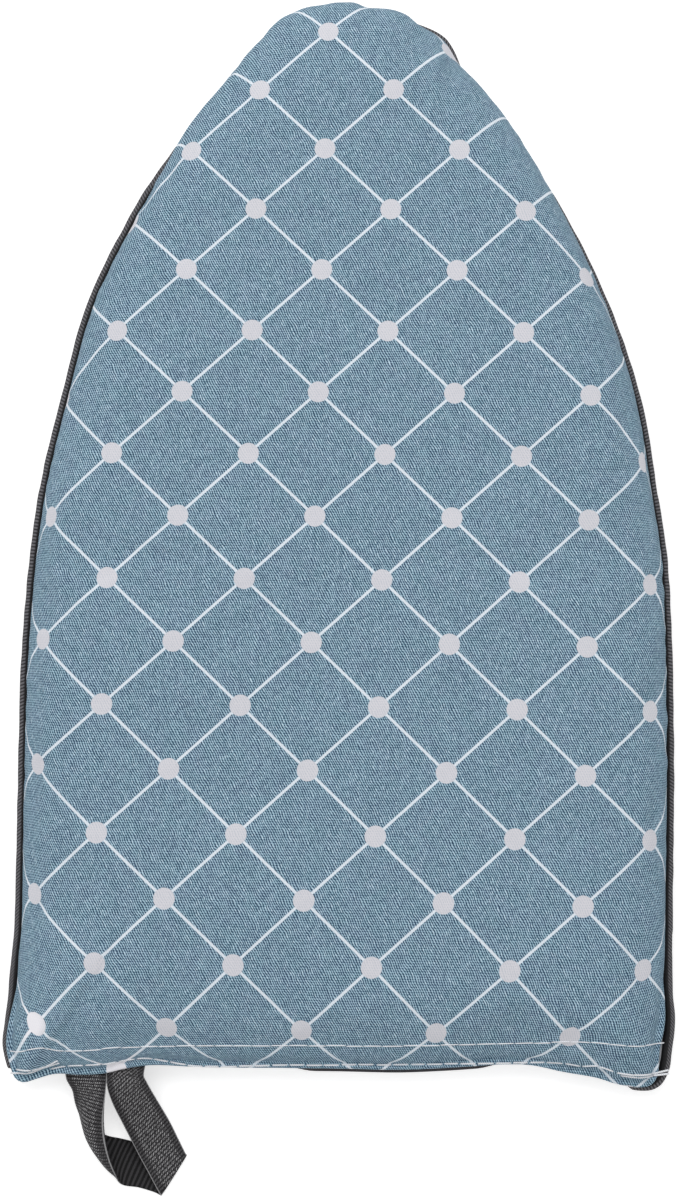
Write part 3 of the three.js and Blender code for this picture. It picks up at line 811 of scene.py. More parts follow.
# Even stations round the outline. A station's ray runs towards the crown, stretched by 1 over its
# cosine to the inward normal, so that insets are measured square to the edge.
def padStations(count):
    ring = curveThrough(plan["outline"], count, closed=True)
    point, shown = ring[:, :2], ring[:, 2]
    travel = unit(np.roll(point, -1, 0) - np.roll(point, 1, 0))
    inward = np.stack([travel[:, 1], -travel[:, 0]], 1)
    crown = np.array([0, plan["crownPlace"]])
    inner = crown + (point - crown) * plan["innerShare"]
    ray = unit(inner - point)
    ray /= np.maximum(plan["rayFloor"], (ray * inward).sum(1, keepdims=True))
    fromPinch = np.linalg.norm(point - plan["pinch"], axis=1) / plan["pinchReach"]
    return {
        "share": np.arange(count) / count,
        "point": point,
        "shown": np.maximum(shown, 0),
        "inward": inward,
        "ray": ray,
        "inner": inner,
        "hem": 1 - easeBetween(point[:, 1], *plan["hemEnds"]),
        "tip": easeBetween(point[:, 1], *plan["tipEnds"]),
        "pinched": np.exp(-fromPinch ** 4),
    }


def insetPlaces(stations, insets):  # plan places this far inside the outline
    return stations["point"] + insets[..., None] * stations["ray"]


def edgeShares():  # where the edging starts and ends, as shares of the way round
    ring = curveThrough(plan["outline"], plan["findStations"], closed=True)[:, :2]
    places = (plan["edgingStart"], plan["edgingEnd"])
    start, end = [np.linalg.norm(ring - place, axis=1).argmin() / len(ring) for place in places]
    return (start if start < 0.5 else start - 1), end


cover = {
    "thickness": 0.9,
    "stations": 640,
    "grid": (48, 20, 7),     # rows on the roll, on the crown and in the middle
    "crowding": 1.35,        # of rows towards the edge
    # rows inside the tucked seam: the inset in mm and the share of the rise
    "leftRows": [
        (0.0, 0.2), (0.25, 0.25), (1.1, 0.30), (4.0, 0.42), (8.0, 0.62),
        (14.0, 0.8), (22.0, 0.915), (34.0, 0.968), (50.0, 0.99),
    ],
    "rightRows": [
        (0.0, 0.22), (0.25, 0.30), (1.1, 0.39), (4.0, 0.53), (8.0, 0.68),
        (14.0, 0.82), (22.0, 0.92), (34.0, 0.97), (50.0, 0.99),
    ],
    "tipRows": [
        (0.0, 0.14), (0.3, 0.26), (1.2, 0.39), (3.2, 0.53), (7.0, 0.695),
        (13.0, 0.84), (22.0, 0.93), (34.0, 0.97), (50.0, 0.99),
    ],
    "rightEnds": (0.0, 80.0),          # in x, from the left rows to the right rows
    "tipRowEnds": (20.0, 120.0),       # in y, from both to the tip's rows
    # rows from the hem: inset and level over the base
    "endRows": [
        (1.0, 0.0), (0.4, 1.2), (0.9, 2.4), (2.6, 2.2), (3.4, 3.7), (4.4, 5.6),
        (6.5, 7.6), (9.7, 9.7), (17.1, 13.6), (30.0, 15.7), (46.0, 16.3),
    ],
    "tuck": 1.8,
    "tipTuck": 4.6,
    "seamRows": [(1.0, 0.0), (0.15, 0.1)],   # shares of the tuck and of the rise
    "crownShare": 0.997,
    "strapLift": 1.45,       # the hem arches this high over the webbing sewn into it
    "strapEnds": (-103.5, -95.5, -67.0, -59.0),
    "strapFade": 3.5,
    "puckers": [(0.6, 45, 110, 3), (0.4, 110, 170, 5)],   # share, fewest and most waves, seed
    "puckerChange": (3, 12, 11),
    "puckerLeast": 0.55,
    "puckerDepth": 0.22,
    "puckerReach": 15.0,
    "puckerStart": 5.0,
    "swells": [(1.0, 75.0, 21), (0.5, 25.0, 22)],         # share, size, seed
    "swellStart": 0.55,      # share of the rise
    "swellDepth": 0.3,
    "swellSunk": 0.8,
    "innerSteps": (3, 5),    # of the inner face's rows, on the roll and beyond
    "innerLift": 0.05,
}

# The print in cloth that lies flat: half repeats from a dot near the middle of the pad
lattice = {
    "anchor": (-8.55, 185.8),
    "lean": 0.0271,
    "tilt": 0.0111,
    "spread": 6.45e-6,
    "shrink": 7.9e-6,
    "bow": 2.05e-6,
    "twist": 2.4e-6,
    "gather": 1.24e-5,       # the cloth is gathered along the hem, from gatherLine down
    "gatherLine": -112.0,
    "gatherReach": 62.0,
    # where cloth is bunched up: place, reach and how far the print has moved there
    "bunches": [
        [(-79.0, -187.0), (30.0, 9.0), (-4.5, -4.5)],   # over the webbing
        [(99.0, -190.0), (22.0, 10.0), (0.0, 1.6)],     # at the hem's right corner
        [(-119.0, -187.0), (15.0, 14.5), (0.5, 6.5)],   # at its left corner
        [(-108.0, -173.0), (14.0, 18.0), (-2.0, -1.6)],
        [(-110.0, -121.0), (14.0, 20.0), (0.0, 1.3)],   # beside the lowest dot on the left
        [(40.0, 177.0), (11.0, 9.0), (3.2, 3.4)],       # in the pinched fold
    ],
    "raySpread": 22.0,
    # the cloth is eased in along its two long sides: how far, out to which inset, and the power
    "eased": [(3.8, 11.7, 3), (6.0, 1.6, 2)],
    # less so towards the tip: between these two places, by this share, on the left and the right
    "easedLess": [(10.0, 50.0, 0.75), (30.0, 70.0, 0.5)],
}


def latticePlaces(flat):
    for place, reach, move in lattice["bunches"]:
        away = (flat - place) / reach
        flat = flat + np.exp(-(away ** 2).sum(-1, keepdims=True)) * move
    x, y = np.moveaxis(flat, -1, 0)
    gathered = np.clip(lattice["gatherLine"] - y, 0, lattice["gatherReach"])
    x = x * (1 + lattice["gather"] * gathered ** 2)
    across = (x - lattice["anchor"][0] - lattice["lean"] * y) / twill["halfRepeat"]
    across += lattice["spread"] * x * y
    down = (lattice["anchor"][1] - y - lattice["tilt"] * x) / twill["rowRepeat"]
    down += lattice["twist"] * x * y - lattice["shrink"] * y ** 2 - lattice["bow"] * x ** 2
    return np.stack([across, down], -1)


def easedIn(stations, rows):  # how far more cloth is sewn in at each row, square to the edge
    x, y = stations["point"].T
    less = [share * easeBetween(y, low, high) for low, high, share in lattice["easedLess"]]
    longSide = (1 - stations["hem"]) * (1 - stations["tip"]) * (1 - np.where(x < 0, *less))
    inside = np.maximum(rows[..., 0] - stations["shown"], 0)
    shares = [(size, np.clip(1 - inside / reach, 0, 1), power) for size, reach, power in lattice["eased"]]
    return longSide * sum(size * share ** power for size, share, power in shares)


# The rows of the sides and of the hem end, with as many insets and levels for every station
def coverRows(stations):
    x, y = stations["point"].T
    left, right, top = [np.array(cover[key])[:, None] for key in ("leftRows", "rightRows", "tipRows")]
    rolled = left + (right - left) * easeBetween(x, *cover["rightEnds"])[:, None]
    rolled = rolled + (top - rolled) * easeBetween(y, *cover["tipRowEnds"])[:, None]
    tuck = cover["tuck"] + cover["tipTuck"] * stations["tip"] * (1 - stations["pinched"])
    seam = np.array(cover["seamRows"])[:, None] * np.stack([tuck, np.ones(len(y))], 1)
    side = np.concatenate([seam, rolled]) * (1, levels["rise"])
    end = np.array(cover["endRows"])[:, None] + np.zeros((len(y), 1))
    for knots in (side, end):
        knots[..., 0] += stations["shown"]
    return side, end


# The rays averaged with those of the stations near them, weighed by a raised cosine
def smoothRound(stations):
    steps = np.linalg.norm(np.diff(stations["point"], axis=0), axis=1).mean()
    half = max(1, round(lattice["raySpread"] / steps))
    shifts = np.arange(-half, half + 1)
    weights = 1 + np.cos(math.pi * shifts / (half + 1))
    turned = [weight * np.roll(stations["ray"], shift, 0) for shift, weight in zip(shifts, weights)]
    return sum(turned) / weights.sum()


# The face cloth: its points, their places in the print, and the roll's lengths from its edge. The
# roll blends the sides' rows with the hem's, both taken at the same shares of their length.
def coverSurface(stations, rollRows, crownRows, middleRows):
    shares = np.linspace(0, 1, rollRows) ** cover["crowding"]
    both = []
    for knots in coverRows(stations):
        at = lengthsAlong(knots).mean(1)
        both.append(smoothThrough(at, knots, shares * at[-1]))
    rows = both[0] + (both[1] - both[0]) * stations["hem"][:, None]
    x, y = stations["point"].T
    overStrap = stations["hem"] * (y < 0) * cover["strapLift"]
    lift = upAndDown(x, *cover["strapEnds"]) * overStrap
    rows[..., 1] += lift * np.exp(-rows[..., 1] / cover["strapFade"])
    flat = insetPlaces(stations, rows[..., 0])
    roll = raised(flat, levels["base"] + rows[..., 1])

    lengths = lengthsAlong(rows)
    flatInset = rows[-1, :, 0] - (lengths[-1] - lengths)
    flatRoll = flat + (flatInset - rows[..., 0])[..., None] * smoothRound(stations)
    flatRoll -= easedIn(stations, rows)[..., None] * stations["inward"]

    ring = raised(stations["inner"], levels["base"] + cover["crownShare"] * levels["rise"])
    middle = np.array([0, plan["crownPlace"], levels["crown"]])
    crown = ringsTowards(roll[-1], ring, crownRows, crownRows)
    cap = ringsTowards(ring, middle, middleRows, middleRows + 1)
    flat = np.concatenate([flatRoll, crown[..., :2], cap[..., :2]])
    return np.concatenate([roll, crown, cap]), latticePlaces(flat), lengths


# Puckers run in from the seam and fade out up the roll; the crown swells and sinks a little
def wrinkled(points, stations, lengths):
    x, y, z = np.moveaxis(points, -1, 0)
    pucker = sum(ripple(stations["share"], *waves) * share for share, *waves in cover["puckers"])
    change = np.tanh(ripple(stations["share"], *cover["puckerChange"]))
    pucker = pucker * (cover["puckerLeast"] + (1 - cover["puckerLeast"]) * change)
    fade = np.exp(-(lengths / cover["puckerReach"]) ** 2) * easeBetween(lengths, 0, cover["puckerStart"])
    depth = np.zeros(points.shape[:2])
    depth[: len(lengths)] = fade * pucker * cover["puckerDepth"]
    rise = easeBetween(z, levels["base"] + cover["swellStart"] * levels["rise"], levels["crown"])
    swell = sum(share * softNoise(x, y, size, seed) for share, size, seed in cover["swells"])
    depth += rise * cover["swellDepth"] * (swell - cover["swellSunk"])
    return points + gridNormals(points) * depth[..., None]


# Cloth simulation of the face: a coarser copy, a little too large and held at its sewn edge, is
# pressed out by the padding for some frames. Its moves along the surface's normals are kept, soft
# limited and drawn out to the fine grid.

settling = {
    "stations": 260,
    "grid": (30, 12, 4),
    "held": (2.2, 7.5),      # lengths from the tucked edge, at the sides and at the hem
    "frames": 20,
    "bed": 0.1,              # how firmly the padding holds the cloth where it isn't sewn
    "cloth": {
        "quality": 6, "vertex_group_mass": "held", "pin_stiffness": 1.0,
        "tension_stiffness": 40.0, "compression_stiffness": 40.0, "bending_stiffness": 6.0,
        "use_pressure": True, "uniform_pressure_force": 4.0, "shrink_min": -0.004,
    },
    "freed": (3.0, 13.0),    # its moves come in between these lengths, and leave the edge in place
    "outwards": 0.8,
    "inwards": 0.3,
}


def pressedOut(points, lengths, hem):
    rows, columns = points.shape[:2]
    faces = gridFaces(rows, columns)[0][:, ::-1]
    last = (rows - 1) * columns + np.arange(columns)
    fan = np.stack([np.roll(last, -1), last, np.full(columns, rows * columns)], 1)
    vertices = np.concatenate([points.reshape(-1, 3), [points[-1].mean(0)]])
    piece = meshPiece("settlingCloth", vertices, [faces, fan], closed=False)
    held = piece.vertex_groups.new(name="held")
    atSides, atHem = settling["held"]
    sewn = np.flatnonzero(lengths < atSides + (atHem - atSides) * hem)
    held.add(list(range(len(vertices))), settling["bed"], "REPLACE")
    held.add(sewn.tolist(), 1.0, "REPLACE")
    modifier = piece.modifiers.new("cloth", "CLOTH")
    for setting, value in settling["cloth"].items():
        setattr(modifier.settings, setting, value)
    modifier.settings.effector_weights.gravity = 0
    modifier.collision_settings.use_collision = False
    modifier.point_cache.frame_start = 1
    modifier.point_cache.frame_end = settling["frames"]
    scene = bpy.context.scene
    for number in range(1, settling["frames"] + 1):
        scene.frame_set(number)
    shaped = piece.evaluated_get(bpy.context.evaluated_depsgraph_get()).to_mesh()
    moved = np.empty(len(vertices) * 3, np.float32)
    shaped.vertices.foreach_get("co", moved)
    bpy.data.meshes.remove(piece.data)
    scene.frame_set(1)
    return moved.reshape(-1, 3)[:-1].reshape(points.shape) / mm - points


def settled(points):
    stations = padStations(settling["stations"])
    coarse, _, lengths = coverSurface(stations, *settling["grid"])
    moves = pressedOut(coarse, lengths, stations["hem"])
    height = (moves * gridNormals(coarse)).sum(-1)
    print("settled: moves in mm", np.percentile(height, (0, 5, 25, 50, 75, 95, 100)).round(3))
    limit = np.where(height > 0, settling["outwards"], settling["inwards"])
    height = limit * np.tanh(height / limit)
    height[: len(lengths)] *= easeBetween(lengths, *settling["freed"])
    grids = (settling["grid"], cover["grid"])
    knots, marks = [np.cumsum([0, grid[0] - 1, *grid[1:]]) for grid in grids]
    rows = np.interp(np.arange(len(points)), marks, knots)
    height = smoothThrough(np.arange(len(coarse)), height, rows)
    columns = np.arange(points.shape[1]) * settling["stations"] / points.shape[1]
    wrapped = np.concatenate([height[:, -2:], height, height[:, :2]], 1)
    height = smoothThrough(np.arange(-2, settling["stations"] + 2), wrapped.T, columns).T
    return points + gridNormals(points) * height[..., None]


def makeCover():
    stations = padStations(cover["stations"])
    outer, uv, lengths = coverSurface(stations, *cover["grid"])
    outer = wrinkled(settled(outer), stations, lengths)
    rollRows, (onRoll, beyond) = cover["grid"][0], cover["innerSteps"]
    keep = np.concatenate([np.arange(0, rollRows, onRoll), np.arange(rollRows + onRoll, len(outer), beyond)])
    inner = outer[keep] - gridNormals(outer)[keep] * cover["thickness"]
    inner[..., 2] = np.maximum(inner[..., 2], outer[0, :, 2] + cover["innerLift"])
    piece = shellPiece("face_cloth", outer, inner, uv, uv[keep])
    dress(piece, "printed_twill", ["face_cover"])
    print("face cloth:", len(piece.data.polygons), "faces")
    return piece


# Padding: each layer's faces lie a set depth under the face cloth, along its normals

padding = {
    "stations": 300,
    "grid": (26, 8, 3),
    "feltDepths": (1.5, 4.3),
    "feltStart": 6.0,        # level over the base at which the felt ends
    "foamDepth": 4.6,
    "foamStart": 9.0,
    "foamLift": 0.35,
}


def makePadding():
    outer, _, _ = coverSurface(padStations(padding["stations"]), *padding["grid"])
    normal = gridNormals(outer)
    level = outer[..., 2].mean(1) - levels["base"]
    rows = level >= padding["feltStart"]
    felt = shellPiece("felt_sheet", *[outer[rows] - normal[rows] * depth for depth in padding["feltDepths"]])
    dress(felt, "felt", ["felt_layer"])
    rows = level >= padding["foamStart"]
    top = outer[rows] - normal[rows] * padding["foamDepth"]
    bottom = raised(top[..., :2], levels["base"] + padding["foamLift"])
    foam = shellPiece("foam_pad", top, bottom)
    dress(foam, "foam", ["foam_core"])
    print("padding:", len(felt.data.polygons) + len(foam.data.polygons), "faces")


# The two cloths under the padding

lining = {
    "stations": 360,
    "rows": 12,
    "middleRows": 5,
    "hemInset": 1.0,
    "reach": 60.0,
    "sag": 0.12,
    "sagSize": 22.0,
    "sagSeed": 31,
    "sagLimits": (-0.25, 0.15),
    "clearance": 0.1,
}

pocket = {
    "stations": 480,
    "rows": 40,
    "crowding": 1.15,
    "middleRows": 10,
    "seamInset": 4.0,
    "tipTuck": 3.0,
    "mouthBlend": 0.01,      # share of the way round over which the seam ends at the mouth
    "mouthInset": 0.6,
    "mouthShown": 1.7,       # how far its edge comes out past that, between these places
    "shownEnds": (-20.0, -8.0, 48.0, 60.0),
    "thickness": 0.9,
    "seamTop": 9.2,
    "seamAllowance": 5.0,
    "reach": 31.0,           # the cloth has come down to the table at this distance from its seam
    "beyond": 8.0,
    "mouthHem": 10.0,
    "foldStep": 0.7,
    "wave": 0.35,
    "waveSize": 46.0,
    "waveSeed": 41,
    "waveSunk": 0.3,
    "puckers": (60, 150, 43),
    "puckerDepth": 0.21,
    "puckerEnds": (3.0, 9.0, 9.0, 24.0),
}


# How far inside the outline the seam lies, and 1 along the hem, where nothing is sewn to the edging
def backEdge(stations):
    start, end = edgeShares()
    share = (stations["share"] - start) % 1
    blend = pocket["mouthBlend"]
    mouth = upAndDown(share, end - start, end - start + blend, 1 - blend, 1)
    return pocket["seamInset"] + pocket["tipTuck"] * stations["tip"], mouth


def ringsBetween(stations, insets, middleRows):  # insets: rows x stations
    roll = insetPlaces(stations, insets)
    middle = np.array([0, plan["crownPlace"]])
    return np.concatenate([roll, ringsTowards(roll[-1], middle, middleRows, middleRows + 1)])


def makeLining():
    stations = padStations(lining["stations"])
    sewn, mouth = backEdge(stations)
    edge = sewn + (lining["hemInset"] - sewn) * mouth
    insets = edge + np.linspace(0, lining["reach"], lining["rows"])[:, None]
    flat = ringsBetween(stations, insets, lining["middleRows"])
    sag = softNoise(flat[..., 0], flat[..., 1], lining["sagSize"], lining["sagSeed"]) * lining["sag"]
    upper = raised(flat, levels["liningTop"] + np.clip(sag, *lining["sagLimits"]))
    lower = upper - (0, 0, levels["liningTop"] - levels["liningBottom"] - lining["clearance"])
    piece = shellPiece("steam_lining", upper, lower)
    dress(piece, "coated_lining", ["pad_lining"])
    print("lining:", len(piece.data.polygons), "faces")


# Distance in plan from points to the seam line, as the nearest of its closely spaced points
def distanceToSeam(flat, stations):
    start, end = edgeShares()
    sewn, _ = backEdge(stations)
    line = insetPlaces(stations, sewn)[((stations["share"] - start) % 1) < end - start]
    return np.array([np.linalg.norm(row[:, None] - line, axis=-1).min(1) for row in flat])


# The cloth falls from its seam to the table, waves and puckers on the way, and is double in the
# hem along its mouth
def makePocket():
    stations = padStations(pocket["stations"])
    sewn, mouth = backEdge(stations)
    shown = upAndDown(stations["point"][:, 0], *pocket["shownEnds"]) * pocket["mouthShown"]
    edge = sewn + (pocket["mouthInset"] - shown - sewn) * mouth
    shares = np.linspace(0, 1, pocket["rows"]) ** pocket["crowding"]
    run = shares * (pocket["reach"] + pocket["beyond"])
    flat = ringsBetween(stations, edge + run[:, None], pocket["middleRows"])
    distance = distanceToSeam(flat, stations)
    fall = easeBetween(distance, pocket["seamAllowance"], pocket["reach"])
    level = pocket["seamTop"] + (pocket["thickness"] - pocket["seamTop"]) * fall
    wave = softNoise(flat[..., 0], flat[..., 1], pocket["waveSize"], pocket["waveSeed"])
    level += 4 * fall * (1 - fall) * pocket["wave"] * (wave - pocket["waveSunk"])
    pucker = ripple(stations["share"], *pocket["puckers"]) * (1 - mouth) * pocket["puckerDepth"]
    level += pucker * upAndDown(distance, *pocket["puckerEnds"])
    fromMouth = np.concatenate([run, np.full(pocket["middleRows"], math.inf)])[:, None]
    folded = 1 - easeBetween(fromMouth, pocket["mouthHem"], pocket["mouthHem"] + pocket["foldStep"])
    clear = easeBetween(distance, pocket["seamAllowance"], 2 * pocket["mouthHem"])
    bottom = np.maximum(level - pocket["thickness"], 0)
    top = bottom + pocket["thickness"] * (1 + mouth * folded * clear)
    piece = shellPiece("back_panel", raised(flat, top), raised(flat, bottom))
    dress(piece, "back_cloth", ["pocket_panel"])
    print("pocket cloth:", len(piece.data.polygons), "faces")
    return piece


# Edging: cloth tape round a twisted cord, its two edges sewn flat together as a flange

edging = {
    "fineStations": 4000,
    "steps": 1300,
    "radius": 1.85,
    "tape": 0.4,
    "flange": 6.0,
    "flangeHalf": 0.55,
    "gap": 0.3,
    "corners": (27, 13),     # round the outside and the bore
    "tuck": 3.0,
    "unevenness": 0.035,
    "unevenWaves": (20, 90, 51),
    "unevenMost": 0.05,
    "sink": 2.6,             # the two ends turn under the cloth by this much
    "endRun": 4.5,
    "endThinner": 0.3,
}

cord = {
    "steps": 1900,
    "sides": 12,
    "radius": 1.0,
    "plies": 3,
    "plyDepth": 0.07,
    "twistPitch": 8.0,
    "girth": 6.0,            # of its uv
    "endThinner": 0.35,
}


# Centres and inward directions along the edging, and 1 where its ends have turned under
def edgingPath(steps):
    start, end = edgeShares()
    fine = edging["fineStations"]
    stations = padStations(fine)
    share = np.linspace(start, end, steps)
    at = {key: values[(share * fine).astype(int) % fine] for key, values in stations.items()}
    tuck = edging["tuck"] * at["tip"] * (1 - at["pinched"])
    fromEnd = np.minimum(end - share, share - start) * lengthsAlong(stations["point"])[-1]
    turned = 1 - easeBetween(fromEnd, 0, edging["endRun"])
    flat = insetPlaces(at, edging["radius"] + tuck + turned * edging["sink"])
    return raised(flat, levels["seam"]), raised(at["ray"], 0.0), turned


def makeEdging():
    centre, ray, turned = edgingPath(edging["steps"])
    bore, flange = edging["radius"] - edging["tape"], edging["flange"]
    lip, slit = edging["flangeHalf"], edging["gap"] / 2
    arcs = []
    for radius, half, corners in zip((edging["radius"], bore), (lip, slit), edging["corners"]):
        first = math.asin(half / radius)
        turn = np.linspace(first, fullTurn - first, corners)
        arcs.append(radius * np.stack([np.cos(turn), np.sin(turn)], 1))
    lips = [(flange, lip)], [(flange, -lip), (flange, -slit)], [(flange, slit)]
    section = np.concatenate([lips[0], arcs[0], lips[1], arcs[1][::-1], lips[2]])
    along = lengthsAlong(centre)
    uneven = ripple(along / along[-1], *edging["unevenWaves"]) * edging["unevenness"]
    uneven = np.clip(uneven, -edging["unevenMost"], edging["unevenMost"])
    size = (1 + uneven) * (1 - turned * edging["endThinner"])
    points = centre[:, None] + section[:, :1] * ray[:, None] * size[:, None, None]
    points[..., 2] += section[:, 1] * size[:, None]
    around = lengthsAlong(section)
    around = np.append(around, around[-1] + 1)
    piece = gridPiece("edge_piping", points, pairsOf(along[:, None], around))
    dress(piece, "piping_tape", ["piping_cover"])

    centre, ray, turned = edgingPath(cord["steps"])
    along = lengthsAlong(centre)[:, None]
    turn = np.arange(cord["sides"]) * fullTurn / cord["sides"]
    lobes = 1 + cord["plyDepth"] * np.cos(cord["plies"] * turn - along * fullTurn / cord["twistPitch"])
    radius = cord["radius"] * lobes * (1 - turned * cord["endThinner"])[:, None]
    spokes = np.cos(turn)[:, None] * ray[:, None] + np.sin(turn)[:, None] * (0, 0, 1.0)
    around = np.linspace(0, cord["girth"], cord["sides"] + 1)
    filler = gridPiece("piping_filler", centre[:, None] + radius[..., None] * spokes, pairsOf(along, around))
    dress(filler, "piping_tape", ["piping_cord"])
    print("edging:", len(piece.data.polygons) + len(filler.data.polygons), "faces")


# Hanging loop: one strip of webbing from one end sewn in the hem to the other. Each row holds the
# places of the outer edge, the middle and the inner edge. The left leg rolls over and turns right
# under itself, and the strip then folds over to come back as the right leg.

loop = {
    "root": (-80.72, -185.48, 12.3),
    "hinge": (0.8, -3.5),    # the bend begins and ends this far from the root, in y
    "steps": 320,
    "columns": 17,
    "ribDepth": 0.05,
    "ribEnds": (1.0, 2.6),   # edge ribs fade out between these distances from the edge
    "lowest": 0.05,
    "rows": [
        (-95.6, -177.7, 12.3, -88.4, -177.7, 12.3, -81.3, -177.7, 12.3),
        (-95.6, -182.0, 12.3, -88.4, -182.0, 12.3, -81.2, -182.0, 12.3),
        (-95.2, -185.4, 12.2, -88.0, -185.4, 12.5, -81.0, -185.2, 12.3),
        (-93.0, -189.6, 8.6, -87.1, -189.6, 11.8, -81.3, -189.3, 12.8),
        (-91.9, -194.6, 4.4, -87.5, -195.0, 10.4, -81.9, -194.8, 13.0),
        (-89.8, -199.6, 1.4, -88.7, -201.2, 7.4, -82.2, -200.6, 12.6),
        (-86.0, -203.6, 0.7, -88.0, -207.0, 5.2, -81.7, -206.6, 11.3),
        (-81.5, -206.0, 0.6, -84.9, -212.4, 3.6, -80.3, -213.2, 8.8),
        (-76.5, -207.1, 0.6, -80.0, -216.7, 1.7, -78.2, -219.0, 5.6),
        (-71.5, -208.3, 0.6, -74.4, -216.2, 0.8, -75.8, -223.2, 1.8),
        (-66.0, -209.6, 0.6, -68.0, -217.0, 0.6, -70.2, -224.3, 0.7),
        (-60.5, -210.9, 0.6, -63.2, -218.2, 0.6, -66.0, -225.5, 0.7),
        (-56.5, -211.9, 0.7, -60.2, -219.0, 0.7, -63.8, -226.3, 0.8),
        (-53.7, -212.5, 1.1, -58.1, -219.7, 1.1, -62.7, -226.9, 1.1),
        (-53.4, -212.6, 2.0, -57.8, -219.8, 2.0, -62.5, -226.9, 2.0),
        (-53.7, -212.2, 2.8, -58.8, -218.2, 2.9, -64.0, -224.0, 2.7),
        (-54.0, -211.4, 3.2, -60.3, -215.2, 3.4, -66.6, -219.0, 3.2),
        (-56.4, -206.5, 3.9, -63.0, -210.0, 4.3, -69.6, -213.4, 4.0),
        (-58.9, -201.3, 5.2, -65.6, -204.6, 5.7, -72.4, -207.8, 5.2),
        (-62.3, -195.3, 7.4, -69.0, -198.1, 8.0, -75.8, -200.9, 7.2),
        (-65.3, -190.0, 10.0, -72.2, -192.1, 10.6, -79.0, -194.2, 9.8),
        (-67.1, -186.6, 11.7, -74.0, -187.9, 12.3, -80.7, -189.0, 11.6),
        (-68.0, -184.6, 12.2, -74.7, -185.1, 12.5, -81.1, -185.4, 12.3),
        (-67.6, -181.5, 12.3, -74.3, -181.5, 12.3, -81.0, -181.5, 12.3),
        (-67.0, -177.7, 12.3, -74.0, -177.7, 12.3, -81.0, -177.7, 12.3),
    ],
}


# Across the strip the surface is the straight line from edge to edge plus a parabola through the
# middle. Both faces lie half the thickness off it, with ribs at the two edges.
def makeLoop():
    path = curveThrough(loop["rows"], loop["steps"], planColumns=9).reshape(-1, 3, 3)
    share = np.linspace(0, 1, loop["columns"])
    outer, middle, inner = [path[:, place][:, None] for place in range(3)]
    first, second = share[:, None], 1 - share[:, None]
    bend = 4 * (middle - (outer + inner) / 2) * first * second
    surface = outer + (inner - outer) * first + bend
    outerRun, innerRun = [lengthsAlong(edge[:, 0])[:, None] for edge in (outer, inner)]
    along = outerRun * (1 - share) + innerRun * share
    rib = np.cos(along * fullTurn / strap["rowPitch"])
    rib *= 1 - easeBetween(np.minimum(share, 1 - share) * strap["width"], *loop["ribEnds"])
    half = strap["thickness"] / 2 + loop["ribDepth"] * (rib - 1)
    lifted = gridNormals(surface, wrap=False) * half[..., None]
    points = np.concatenate([surface + lifted, (surface - lifted)[:, ::-1]], 1)
    points[..., 2] = np.maximum(points[..., 2], loop["lowest"])
    across = np.concatenate([share * strap["width"], share[::-1] * strap["width"] + strap["backShift"]])
    uv = pairsOf(np.concatenate([along, along[:, ::-1]], 1), across)
    piece = gridPiece("hanging_strap", points, np.concatenate([uv, uv[:, :1]], 1))
    dress(piece, "webbing", ["hanging_loop", "loop_end_left", "loop_end_right"], body=None)
    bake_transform(piece)
    print("loop:", len(piece.data.polygons), "faces")


# Stitches. Every row is a plan path, and each stitch lies on the cloth under it with its two ends
# sunk in their holes.

